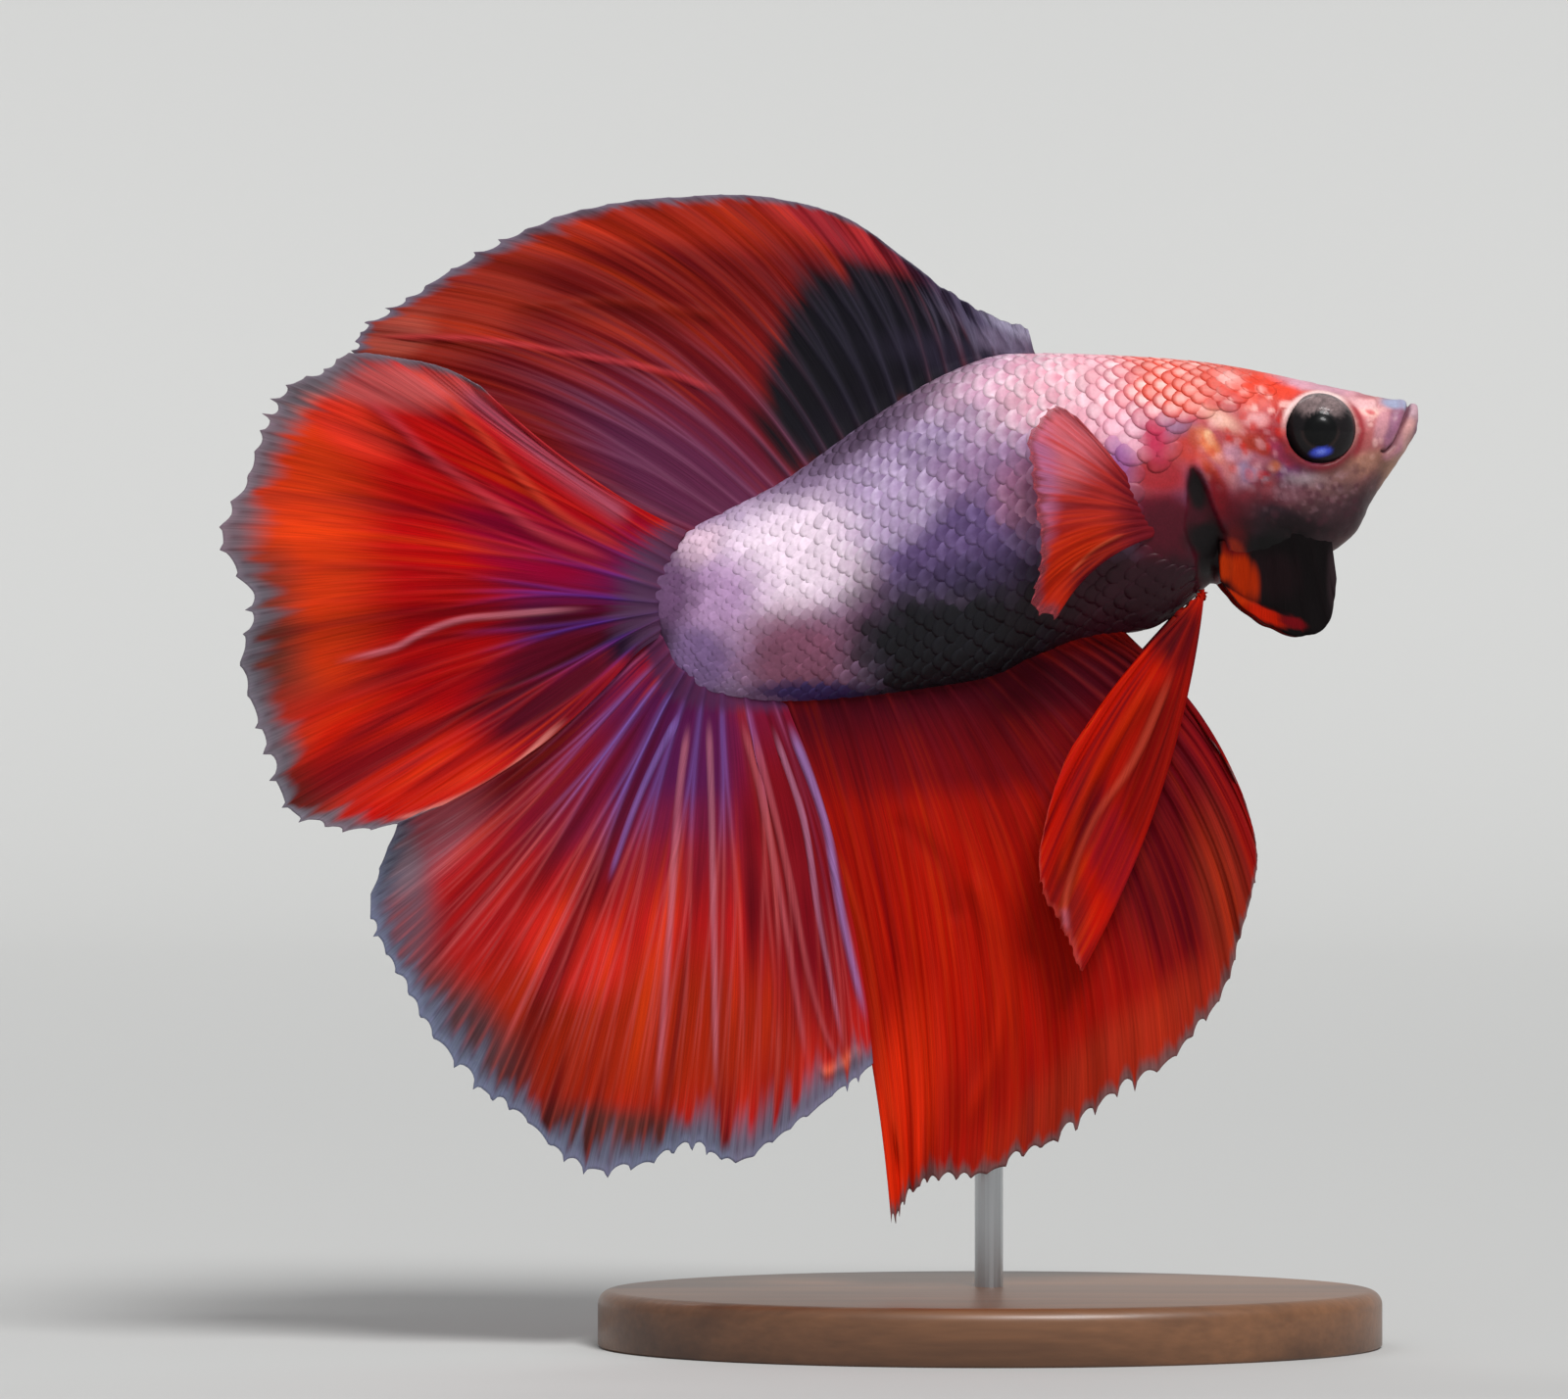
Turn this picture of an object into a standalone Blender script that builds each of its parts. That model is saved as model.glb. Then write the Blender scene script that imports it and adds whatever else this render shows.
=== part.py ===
"""Life-size still model of a male halfmoon betta on a small display stand.

The fish faces +X with its back up, and its right flank is towards -Y. The origin is
the middle of the stand's underside, below the rod. Sizes are in millimetres here and
are turned into metres when a mesh is made.
"""

import math

import bmesh
import bpy
import numpy as np
from mathutils import Matrix, Vector

MM = 0.001
GAP = 0.3                 # clear space between neighbouring pieces
ROOT_GAP = 0.42           # height of a fin's root above the sloping back or below the belly

# The body, from the lips to the root of the tail: x, back, belly, half width.
STATIONS = {
    "lip edge": (23.75, 52.85, 51.0, 0.85),
    "lips": (22.8, 53.1, 49.5, 1.45),
    "snout": (21.5, 53.3, 47.6, 2.15),
    "chin": (20.35, 53.6, 45.5, 2.75),
    "eye": (18.2, 54.1, 44.1, 3.4),
    "cheek": (15.6, 54.65, 43.35, 3.95),
    "gill edge": (12.4, 55.2, 42.5, 4.35),
    "breast": (9.3, 55.5, 40.3, 4.5),
    "shoulder": (5.5, 55.7, 39.75, 4.5),
    "dorsal front": (2.4, 55.75, 38.6, 4.35),
    "belly": (0.0, 55.55, 37.5, 4.2),
    "vent": (-3.3, 54.2, 36.9, 3.9),
    "flank": (-7.2, 51.75, 36.4, 3.35),
    "stalk front": (-11.5, 48.7, 36.1, 2.6),
    "stalk": (-14.9, 46.9, 36.4, 1.95),
    "stalk end": (-17.1, 45.7, 37.1, 1.45),
    "tail root": (-18.8, 44.0, 38.9, 0.95),
}
LIP_TIP = (24.0, 52.0)
TAIL_TIP = (-19.5, 41.4)
WIDEST_AT = 0.55          # height of the widest level, as a share of the depth
BACK_POWER = 2.4          # superellipse powers of the section above and below that level
BELLY_POWER = 1.9
BODY_RINGS = 38
BODY_SIDES = 22

# The rear of the body swings towards -Y.
SWING_FROM = 6.0
SWING_LENGTH = 25.5
SWING = 4.3
SWING_POWER = 2.5

# Cuts between head and trunk, trunk and tail stalk, and head and lower jaw.
GILL_CUT = ((11.66, 46.97), (0.95, 0.31))
STALK_CUT = ((-9.2, 43.0), (1.0, -0.35))
JAW_CUT = ((22.2, 50.2), (0.84, -0.545))

EYE_AT = (18.3, 51.3)
EYE_RADIUS = 2.15
EYE_DEPTH = 1.7           # half the thickness of the flattened eyeball
EYE_SUNK = 0.87           # how far its centre lies under the head's surface

COVER_HEIGHTS = (51.4, 45.0)      # top and bottom of a gill cover
COVER_FRONT = (14.8, 16.7)        # x of its front edge at the top and the bottom
COVER_ROUND = (0.8, 1.6)          # how far its corners are rounded off, in front and behind
COVER_INSET = 0.35                # how far its inner face lies under the head's surface
COVER_THICK = 0.5
COVER_FLARE = 0.35                # how much further out the rear edge stands
POCKET_REACH = 1.5                # how far a pocket's cutter stands out of the head

FIN_THICK = 0.5
FIN_ROWS = 8              # points along each ray of the large fins
ROD_AT = (0.0, 2.0)
ROD_RADIUS = 0.8
ROD_FOOT = 1.5
ROD_TOP = 44.2
BASE_LONG = 22.0
BASE_WIDE = 15.0
BASE_HEIGHT = 3.2
BASE_BEVEL = 0.7


# ---------------------------------------------------------------- curves and meshes

def spline(points, t):
    """Catmull-Rom curve through the rows of points, read at each t from 0 to 1."""
    rows = np.asarray(points, float)
    spans = len(rows) - 1
    s = np.clip(np.asarray(t, float) * spans, 0, spans - 1e-9)
    i = s.astype(int)
    f = (s - i)[:, None]
    padded = np.vstack([2 * rows[0] - rows[1], rows, 2 * rows[-1] - rows[-2]])
    a, b, c, d = (padded[i + k] for k in range(4))
    return b + 0.5 * f * (c - a + f * (2 * a - 5 * b + 4 * c - d + f * (3 * (b - c) + d - a)))


def grid_faces(columns, rows, wrap=False):
    """Quads of a grid of columns x rows points, closed on itself along rows if wrap."""
    faces = []
    for i in range(columns - 1):
        for j in range(rows if wrap else rows - 1):
            k = (j + 1) % rows
            faces.append((i * rows + j, i * rows + k, (i + 1) * rows + k, (i + 1) * rows + j))
    return faces


def finish(bm, name, colour, roughness=0.45, metallic=0.0, sharp=40):
    """Turn the bmesh, in millimetres, into a smooth-shaded object with its own material."""
    bmesh.ops.recalc_face_normals(bm, faces=bm.faces)
    bmesh.ops.scale(bm, vec=(MM, MM, MM), verts=bm.verts)
    mesh = bpy.data.meshes.new(name)
    bm.to_mesh(mesh)
    bm.free()
    mesh.shade_smooth()
    mesh.set_sharp_from_angle(angle=math.radians(sharp))
    obj = bpy.data.objects.new(name, mesh)
    bpy.context.scene.collection.objects.link(obj)
    material = bpy.data.materials.new(name)
    material.use_nodes = True
    shader = material.node_tree.nodes["Principled BSDF"]
    shader.inputs["Base Color"].default_value = (*colour, 1.0)
    shader.inputs["Roughness"].default_value = roughness
    shader.inputs["Metallic"].default_value = metallic
    mesh.materials.append(material)
    return obj


def bmesh_of(points, faces):
    """A bmesh with the given points and faces."""
    bm = bmesh.new()
    verts = [bm.verts.new(p) for p in points]
    for face in faces:
        bm.faces.new([verts[k] for k in face])
    return bm


def keep_side(bm, cut, side):
    """Keep what lies on one side of a cut, half a gap away from it, and close the hole.

    The cut is a point and a normal in the x-z plane; side is 1 for where it points.
    """
    (x, z), (nx, nz) = cut
    normal = Vector((nx, 0, nz)).normalized()
    start = Vector((x, 0, z)) + normal * side * GAP / 2
    geometry = bm.verts[:] + bm.edges[:] + bm.faces[:]
    bmesh.ops.bisect_plane(bm, geom=geometry, plane_co=start, plane_no=-normal * side,
                           clear_outer=True, dist=1e-5)
    rim = [e for e in bm.edges if e.is_boundary]
    bmesh.ops.holes_fill(bm, edges=rim, sides=0)


def cutter(bm, name):
    """A hidden object that only cuts others."""
    obj = finish(bm, name, (0.5, 0.5, 0.5))
    obj.hide_render = True
    obj.display_type = "WIRE"
    return obj


def cut_by(obj, tool):
    """Take the tool's shape out of the object."""
    boolean = obj.modifiers.new("cut " + tool.name, "BOOLEAN")
    boolean.operation = "DIFFERENCE"
    boolean.solver = "EXACT"
    boolean.object = tool


# ---------------------------------------------------------------- the body's surface

BODY_TABLE = spline(list(STATIONS.values()), np.linspace(0, 1, 400))[::-1]


def middle_y(x):
    """Where the mid-plane of the body lies: straight in front, swung to -Y behind."""
    behind = np.clip((SWING_FROM - np.asarray(x, float)) / SWING_LENGTH, 0, None)
    return -SWING * behind ** SWING_POWER


def body_size(x):
    """Back, belly and half width of the body at x."""
    return [np.interp(x, BODY_TABLE[:, 0], BODY_TABLE[:, k]) for k in (1, 2, 3)]


def flank(x, z):
    """Distance of the body's side from its mid-plane at a place x, z on it."""
    back, belly, half = body_size(x)
    level = belly + WIDEST_AT * (back - belly)
    above = np.clip((z - level) / (back - level), 0, 1)
    below = np.clip((level - z) / (level - belly), 0, 1)
    top = (1 - above ** BACK_POWER) ** (1 / BACK_POWER)
    bottom = (1 - below ** BELLY_POWER) ** (1 / BELLY_POWER)
    return half * np.minimum(top, bottom)


def body_bmesh():
    """The whole body: upright superellipse rings along its swung mid-line."""
    rows = spline(list(STATIONS.values()), np.linspace(0, 1, BODY_RINGS))
    turn = np.arange(BODY_SIDES) * 2 * math.pi / BODY_SIDES
    points = []
    for x, back, belly, half in rows:
        level = belly + WIDEST_AT * (back - belly)
        lift = np.sin(turn)
        z = np.where(lift > 0, level + (back - level) * lift, level + (level - belly) * lift)
        power = np.where(lift > 0, BACK_POWER, BELLY_POWER)
        out = half * (1 - np.abs(lift) ** power).clip(0) ** (1 / power) * np.sign(np.cos(turn))
        out[np.abs(np.cos(turn)) < 1e-9] = 0
        slope = float(middle_y(x + 0.1) - middle_y(x - 0.1)) / 0.2
        side = Vector((-slope, 1, 0)).normalized()
        for k in range(BODY_SIDES):
            points.append(Vector((x, float(middle_y(x)), z[k])) + side * out[k])
    faces = grid_faces(BODY_RINGS, BODY_SIDES, wrap=True)
    for (x, z), ring in ((LIP_TIP, 0), (TAIL_TIP, BODY_RINGS - 1)):
        points.append(Vector((x, float(middle_y(x)), z)))
        for k in range(BODY_SIDES):
            corner = (ring * BODY_SIDES + k, ring * BODY_SIDES + (k + 1) % BODY_SIDES, len(points) - 1)
            faces.append(corner if ring else corner[::-1])
    return bmesh_of(points, faces)


# ---------------------------------------------------------------- head, trunk and stalk

def make_body():
    """Part the body into head, lower jaw, trunk and tail stalk by thin cuts."""
    head = body_bmesh()
    keep_side(head, GILL_CUT, 1)
    jaw = head.copy()
    keep_side(head, JAW_CUT, -1)
    keep_side(jaw, JAW_CUT, 1)
    trunk = body_bmesh()
    keep_side(trunk, GILL_CUT, -1)
    keep_side(trunk, STALK_CUT, 1)
    stalk = body_bmesh()
    keep_side(stalk, STALK_CUT, -1)
    return {
        "head": finish(head, "head", (0.62, 0.30, 0.27)),
        "lower_jaw": finish(jaw, "lower_jaw", (0.50, 0.24, 0.17)),
        "trunk": finish(trunk, "trunk", (0.42, 0.30, 0.42)),
        "tail_stalk": finish(stalk, "tail_stalk", (0.60, 0.45, 0.60)),
    }


def make_eye(name, side, head):
    """A flattened eyeball in a socket that is a gap wider all round."""
    x, z = EYE_AT
    y = side * (float(flank(x, z)) - EYE_SUNK)
    for label, grow in ((name, 0.0), (name + "_socket", GAP)):
        bm = bmesh.new()
        bmesh.ops.create_uvsphere(bm, u_segments=16, v_segments=9, radius=1)
        radius = EYE_RADIUS + grow
        shape = Matrix.Translation((x, y, z)) @ Matrix.Diagonal((radius, EYE_DEPTH + grow, radius, 1))
        bmesh.ops.transform(bm, matrix=shape @ Matrix.Rotation(math.pi / 2, 4, "X"), verts=bm.verts)
        if grow:
            cut_by(head, cutter(bm, label))
        else:
            finish(bm, label, (0.02, 0.02, 0.025), roughness=0.1)


def shell(outline, heights, flare, side, columns, rows, border=0.0):
    """A closed plate that follows the body's side between two heights over it.

    outline(a, b, border) gives x and z, for a from front to rear and b from top to
    bottom. flare is how much higher both faces stand at the rear edge.
    """
    a, b = np.meshgrid(np.linspace(0, 1, columns), np.linspace(0, 1, rows), indexing="ij")
    x, z = outline(a, b, border)
    points = []
    for height in heights:
        y = side * (flank(x, z) + height + flare * a ** 2)
        points += list(zip(x.ravel(), y.ravel(), z.ravel()))
    count = columns * rows
    under = grid_faces(columns, rows)
    faces = under + [tuple(k + count for k in face[::-1]) for face in under]
    rim = [i * rows for i in range(columns)]
    rim += [(columns - 1) * rows + j for j in range(1, rows)]
    rim += [i * rows + rows - 1 for i in range(columns - 2, -1, -1)]
    rim += list(range(rows - 2, 0, -1))
    for p, q in zip(rim, rim[1:] + rim[:1]):
        faces.append((q, p, p + count, q + count))
    return bmesh_of(points, faces)


def cover_outline(a, b, border):
    """A gill cover: round behind, along the gill cut, and nearly straight in front."""
    top, bottom = COVER_HEIGHTS
    z = top + border + (bottom - top - 2 * border) * b
    (cut_x, cut_z), (nx, nz) = GILL_CUT
    corner = (2 * b - 1) ** 4
    front = COVER_FRONT[0] + (COVER_FRONT[1] - COVER_FRONT[0]) * b - COVER_ROUND[0] * corner + border
    rear = cut_x - (z - cut_z) * nz / nx + GAP / 2 + COVER_ROUND[1] * corner - border
    return front + (rear - front) * a, z


def make_gill_covers(head):
    """One plate on each side, let into the head and standing out at its rear edge."""
    for side, name in ((-1, "gill_cover_right"), (1, "gill_cover_left")):
        inner, outer = -COVER_INSET, COVER_THICK - COVER_INSET
        plate = shell(cover_outline, (inner, outer), COVER_FLARE, side, 8, 7)
        pocket = shell(cover_outline, (inner - GAP, POCKET_REACH), 0.0, side, 6, 6, border=GAP)
        cut_by(head, cutter(pocket, name + "_pocket"))
        finish(plate, name, (0.50, 0.17, 0.17))


# ---------------------------------------------------------------- fins and membranes

def fin_points(roots, tips, bends, columns, rows, wave, teeth):
    """Rays that bend in the x-z plane, spread evenly between the given ones.

    Each ray is a quadratic curve from its root to its tip. bends is how far it bows, as
    a share of its length. wave is (height, count, start) of the ripples across the rays,
    which grow along them. teeth is how much shorter every second ray is.
    """
    u = np.linspace(0, 1, columns)
    root, tip = spline(roots, u), spline(tips, u)
    bow = spline(np.asarray(bends, float)[:, None], u)
    run = tip - root
    tip = tip - run * teeth * (np.arange(columns) % 2)[:, None]
    across = np.stack([run[:, 2], np.zeros(columns), -run[:, 0]], axis=1)
    control = (root + tip) / 2 + 2 * bow * across
    v = np.linspace(0, 1, rows)[None, :, None]
    points = (1 - v) ** 2 * root[:, None] + 2 * v * (1 - v) * control[:, None] + v ** 2 * tip[:, None]
    height, count, start = wave
    points[:, :, 1] += height * np.sin(2 * math.pi * (count * u + start))[:, None] * v[0, :, 0] ** 2
    return points.reshape(-1, 3)


def make_fin(name, roots, tips, bends, columns, rows, wave, colour, teeth=0.012):
    """A rippled fan of rays, thickened to a solid sheet."""
    points = fin_points(roots, tips, bends, columns, rows, wave, teeth)
    fin = finish(bmesh_of(points, grid_faces(columns, rows)), name, colour, roughness=0.5)
    solid = fin.modifiers.new("thickness", "SOLIDIFY")
    solid.thickness = FIN_THICK * MM
    solid.offset = 0
    return fin


def on_back(x):
    """Root of a dorsal ray above the back."""
    return (x, float(middle_y(x)), float(body_size(x)[0]) + ROOT_GAP)


def on_belly(x):
    """Root of an anal ray below the belly."""
    return (x, float(middle_y(x)), float(body_size(x)[1]) - ROOT_GAP)


# Rays of the tall fins, from the front: root x, tip x, tip y, tip z, bow.
DORSAL_RAYS = [
    (2.5, 2.1, 0.0, 57.2, 0.0), (1.1, 0.4, 0.0, 57.8, 0.02), (-0.5, -1.8, 0.0, 58.8, 0.03),
    (-1.9, -4.6, 0.0, 60.9, 0.05), (-3.6, -8.0, 0.0, 63.3, 0.06), (-5.2, -12.1, 0.0, 64.5, 0.07),
    (-6.9, -17.0, 0.0, 64.6, 0.08), (-8.5, -22.0, -0.2, 64.0, 0.09), (-10.2, -27.0, -0.6, 62.2, 0.10),
    (-11.8, -31.7, -1.2, 59.4, 0.10), (-13.5, -34.9, -1.8, 57.3, 0.09), (-15.1, -35.4, -2.2, 55.0, 0.07),
    (-17.0, -31.6, -2.8, 49.9, 0.03),
]
ANAL_RAYS = [
    (7.7, 11.7, 0.6, 35.0, -0.03), (7.0, 13.5, 0.6, 32.4, -0.07), (6.2, 14.8, 0.5, 29.1, -0.09),
    (5.0, 15.0, 0.3, 26.6, -0.10), (3.7, 14.2, 0.0, 23.6, -0.11), (2.2, 13.0, -0.3, 19.7, -0.11),
    (0.5, 10.2, -0.7, 16.2, -0.10), (-1.4, 6.6, -1.0, 13.9, -0.09), (-3.3, 3.0, -1.2, 11.3, -0.08),
    (-5.2, -0.3, -1.2, 9.8, -0.07), (-7.1, -3.0, -1.0, 9.3, -0.05), (-9.1, -4.6, -0.7, 8.2, -0.03),
    (-10.9, -5.5, -0.5, 6.5, 0.0),
]

# The tail fin in its two lobes: points of the root line, then ray tips x, y, z with the bow.
UPPER_ROOTS = [(-17.7, -3.6, 45.95), (-19.1, -4.25, 44.1), (-19.85, -4.5, 41.4), (-19.4, -4.3, 39.4)]
UPPER_RAYS = [
    (-31.2, -9.4, 55.2, 0.0), (-33.8, -10.6, 55.2, 0.0), (-36.3, -11.8, 54.9, 0.01),
    (-38.6, -12.8, 53.5, 0.02), (-40.2, -13.6, 51.4, 0.02), (-40.9, -13.9, 48.5, 0.03),
    (-41.9, -14.2, 45.2, 0.03), (-40.6, -13.8, 41.8, 0.04), (-41.2, -13.9, 38.1, 0.04),
    (-39.7, -13.3, 34.3, 0.03), (-38.6, -12.8, 30.7, 0.01), (-36.5, -12.0, 29.1, -0.01),
    (-33.7, -11.2, 29.2, -0.04), (-30.5, -10.3, 30.4, -0.06),
]
LOWER_ROOTS = [(-19.1, -4.1, 38.7), (-18.0, -3.7, 37.1), (-15.7, -2.9, 36.0), (-11.7, -2.1, 35.65)]
LOWER_RAYS = [
    (-31.6, -7.6, 30.9, -0.05), (-33.9, -8.2, 27.1, -0.04), (-34.4, -8.4, 24.9, -0.03),
    (-33.3, -8.2, 21.7, -0.02), (-31.5, -7.8, 18.4, -0.01), (-28.6, -7.0, 15.1, 0.0),
    (-25.9, -6.4, 12.9, 0.0), (-23.0, -5.8, 10.5, 0.0), (-19.7, -5.2, 10.4, -0.01),
    (-16.7, -4.7, 11.4, -0.02), (-14.3, -4.4, 10.6, -0.03), (-11.6, -4.1, 12.2, -0.05),
    (-8.9, -3.8, 14.1, -0.05), (-6.6, -3.6, 16.1, -0.04),
]

# Paired fins, as on the right side; the left one has the opposite y.
PECTORAL_ROOTS = [(8.0, -5.05, 48.5), (8.3, -5.1, 46.8), (8.5, -5.05, 45.1)]
PECTORAL_RAYS = [
    (4.2, -6.6, 52.6, 0.04), (2.2, -7.1, 51.7, 0.03), (2.5, -7.3, 49.9, 0.03), (2.8, -7.4, 48.1, 0.03),
    (2.8, -7.4, 46.3, 0.04), (3.0, -7.3, 44.4, 0.05), (2.7, -7.1, 42.6, 0.06), (2.6, -6.8, 41.5, 0.07),
    (3.9, -6.2, 41.0, 0.08),
]
PELVIC_ROOTS = [(11.1, -1.1, 41.2), (11.9, -1.0, 41.5)]
PELVIC_RAYS = [
    (6.6, -2.9, 35.6, 0.02), (4.1, -3.7, 32.4, 0.04), (2.85, -4.1, 28.8, 0.05),
    (3.0, -4.1, 25.6, 0.03), (4.2, -3.8, 23.3, -0.02), (5.3, -3.4, 20.9, -0.065),
]
BEARD_TOP = [(12.7, -3.45, 44.4), (15.2, -3.0, 44.55), (17.2, -3.15, 45.6), (19.2, -1.5, 44.6)]
BEARD_HEM = [(12.8, -2.7, 42.9), (14.4, -2.1, 41.1), (17.1, -1.7, 39.85), (18.9, -1.5, 40.6),
             (19.35, -1.3, 43.0)]
BEARD_BELLY = 0.35        # how far the leaf bulges out between its edge and its hem


def make_fins():
    """The two tall fins in the mid-plane and the tail fin's two lobes."""
    for name, rays, root_of, columns, wave, colour in (
            ("dorsal_fin", DORSAL_RAYS, on_back, 35, (0.45, 3.0, 0.1), (0.42, 0.03, 0.04)),
            ("anal_fin", ANAL_RAYS, on_belly, 37, (0.5, 4.0, 0.55), (0.45, 0.02, 0.02))):
        roots = [root_of(ray[0]) for ray in rays]
        make_fin(name, roots, [ray[1:4] for ray in rays], [ray[4] for ray in rays],
                 columns, FIN_ROWS, wave, colour)
    for name, roots, rays, columns, wave, colour in (
            ("caudal_fin_upper", UPPER_ROOTS, UPPER_RAYS, 27, (0.5, 3.0, 0.0), (0.60, 0.05, 0.02)),
            ("caudal_fin_lower", LOWER_ROOTS, LOWER_RAYS, 35, (0.35, 4.0, 0.3), (0.55, 0.05, 0.04))):
        make_fin(name, roots, [ray[:3] for ray in rays], [ray[3] for ray in rays],
                 columns, FIN_ROWS, wave, colour)


def make_paired_fins():
    """Pectoral and pelvic fins on both sides."""
    for side, label in ((-1, "right"), (1, "left")):
        for name, roots, rays, columns, rows, wave, colour in (
                ("pectoral_fin_", PECTORAL_ROOTS, PECTORAL_RAYS, 11, 6, (0.25, 2.0, 0.0),
                 (0.55, 0.10, 0.06)),
                ("pelvic_fin_", PELVIC_ROOTS, PELVIC_RAYS, 8, 9, (0.3, 1.5, 0.2),
                 (0.62, 0.06, 0.01))):
            mirror = np.array([1, -side, 1])
            tips = np.array([ray[:3] for ray in rays]) * mirror
            height, count, start = wave
            make_fin(name + label, np.array(roots) * mirror, tips, [ray[3] for ray in rays],
                     columns, rows, (-side * height, count, start), colour)


def make_beards():
    """The gill membranes, a leaf that hangs under each gill cover."""
    columns, rows = 9, 6
    a, b = np.linspace(0, 1, columns), np.linspace(0, 1, rows)
    top, hem = spline(BEARD_TOP, a), spline(BEARD_HEM, a)
    for side, name in ((-1, "beard_right"), (1, "beard_left")):
        leaf = top[:, None] + (hem - top)[:, None] * b[None, :, None]
        leaf[:, :, 1] -= BEARD_BELLY * np.sin(math.pi * b)
        points = leaf.reshape(-1, 3) * (1, -side, 1)
        bm = bmesh_of(points, grid_faces(columns, rows))
        leaf = finish(bm, name, (0.03, 0.015, 0.02), roughness=0.4)
        solid = leaf.modifiers.new("thickness", "SOLIDIFY")
        solid.thickness = FIN_THICK * MM
        solid.offset = 0


# ---------------------------------------------------------------- the stand

def rod_shape(radius, bottom, top):
    """An upright round bar where the rod stands."""
    bm = bmesh.new()
    bmesh.ops.create_cone(bm, cap_ends=True, segments=20, radius1=radius, radius2=radius,
                          depth=top - bottom)
    place = Vector((*ROD_AT, (top + bottom) / 2))
    bmesh.ops.translate(bm, vec=place, verts=bm.verts)
    return bm


def make_stand(trunk):
    """An oval base with a rounded top edge, and a rod from it into the trunk."""
    bm = bmesh.new()
    bmesh.ops.create_cone(bm, cap_ends=True, segments=56, radius1=1, radius2=1, depth=BASE_HEIGHT)
    oval = Matrix.Translation((0, 0, BASE_HEIGHT / 2)) @ Matrix.Diagonal((BASE_LONG, BASE_WIDE, 1, 1))
    bmesh.ops.transform(bm, matrix=oval, verts=bm.verts)
    rim = [e for e in bm.edges if all(v.co.z > BASE_HEIGHT - 0.01 for v in e.verts)]
    bmesh.ops.bevel(bm, geom=rim, offset=BASE_BEVEL, segments=2, affect="EDGES", profile=0.5)
    base = finish(bm, "stand_base", (0.16, 0.08, 0.04), roughness=0.4)
    under_trunk = STATIONS["vent"][2] - 5 * GAP
    cut_by(base, cutter(rod_shape(ROD_RADIUS + GAP, ROD_FOOT - GAP, BASE_HEIGHT + 1), "base_hole"))
    cut_by(trunk, cutter(rod_shape(ROD_RADIUS + GAP, under_trunk, ROD_TOP + GAP), "trunk_hole"))
    finish(rod_shape(ROD_RADIUS, ROD_FOOT, ROD_TOP), "stand_rod", (0.62, 0.62, 0.62),
           roughness=0.3, metallic=1.0)


def main():
    """Clear the file's objects and make every piece."""
    for obj in list(bpy.data.objects):
        bpy.data.objects.remove(obj)
    body = make_body()
    for side, name in ((-1, "eye_right"), (1, "eye_left")):
        make_eye(name, side, body["head"])
    make_gill_covers(body["head"])
    make_beards()
    make_fins()
    make_paired_fins()
    make_stand(body["trunk"])


main()
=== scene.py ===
"""Finish of the life-size halfmoon betta on its display stand.

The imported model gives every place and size. One skin stands for the flesh, overlapping
scales lie on it, the fins are thin ribbed membranes, and the stand keeps its solids'
shape. Lengths are in millimetres of the model until a mesh is written.
"""

import logging
import math
from dataclasses import dataclass, field
from enum import Enum

import bpy
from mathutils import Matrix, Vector
import numpy as np


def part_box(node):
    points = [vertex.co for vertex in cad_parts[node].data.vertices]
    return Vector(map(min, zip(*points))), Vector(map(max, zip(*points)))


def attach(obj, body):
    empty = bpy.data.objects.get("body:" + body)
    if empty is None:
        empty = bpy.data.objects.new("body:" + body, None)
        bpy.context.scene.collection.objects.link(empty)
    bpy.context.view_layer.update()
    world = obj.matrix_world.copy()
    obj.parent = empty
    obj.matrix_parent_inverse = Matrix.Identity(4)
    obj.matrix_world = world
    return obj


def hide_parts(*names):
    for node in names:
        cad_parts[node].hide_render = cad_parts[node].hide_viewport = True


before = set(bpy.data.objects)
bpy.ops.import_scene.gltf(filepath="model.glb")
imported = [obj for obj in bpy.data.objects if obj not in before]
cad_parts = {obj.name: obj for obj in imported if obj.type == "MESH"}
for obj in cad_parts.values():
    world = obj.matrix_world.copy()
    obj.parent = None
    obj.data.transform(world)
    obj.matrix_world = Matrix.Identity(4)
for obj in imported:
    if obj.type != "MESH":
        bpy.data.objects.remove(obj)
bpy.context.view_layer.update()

LOG = logging.getLogger("betta")
Array = np.ndarray
Colour = tuple[float, float, float]
BODY_LENGTH = 43.5       # snout to tail root, the measure that all other lengths follow
UNWRAP_END = 0.02        # share of the skin's map that the fan at either end takes
UNWRAP_RUN = 1 - 2 * UNWRAP_END


def frame_unit() -> float:
    """Metres in one millimetre of the model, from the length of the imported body."""
    nose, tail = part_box("lower_jaw")[1][0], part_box("tail_stalk")[0][0]
    return (nose - tail) / BODY_LENGTH


UNIT = frame_unit()


class Side(Enum):
    """A flank of the fish, as the sign of its y."""

    RIGHT = -1
    LEFT = 1

    @property
    def label(self) -> str:
        """The word used in the names of pieces."""
        return self.name.lower()


# ------------------------------------------------------------------ numbers and curves

def linear(colour: Colour) -> Array:
    """Linear light of a display colour.

    Args:
        colour: Red, green and blue from 0 to 255.

    Returns:
        Three linear values from 0 to 1.
    """
    c = np.asarray(colour, float) / 255
    return np.where(c <= 0.04045, c / 12.92, ((c + 0.055) / 1.055) ** 2.4)


def ease(low: float, high: float, value: Array) -> Array:
    """Smooth step 3t^2 - 2t^3, from 0 at low to 1 at high.

    Args:
        low: Where the step starts.
        high: Where it ends; it may lie below low.
        value: Where to read it.

    Returns:
        The step at each value.
    """
    t = np.clip((value - low) / (high - low), 0, 1)
    return t * t * (3 - 2 * t)


def bell(value: Array, width: float) -> Array:
    """Gaussian bump exp(-(value / width)^2)."""
    return np.exp(-(value / width) ** 2)


def blend(first: Array, second: Array, share: Array) -> Array:
    """Colours mixed by a share that lacks their last axis."""
    return first + (second - first) * np.asarray(share)[..., None]


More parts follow.
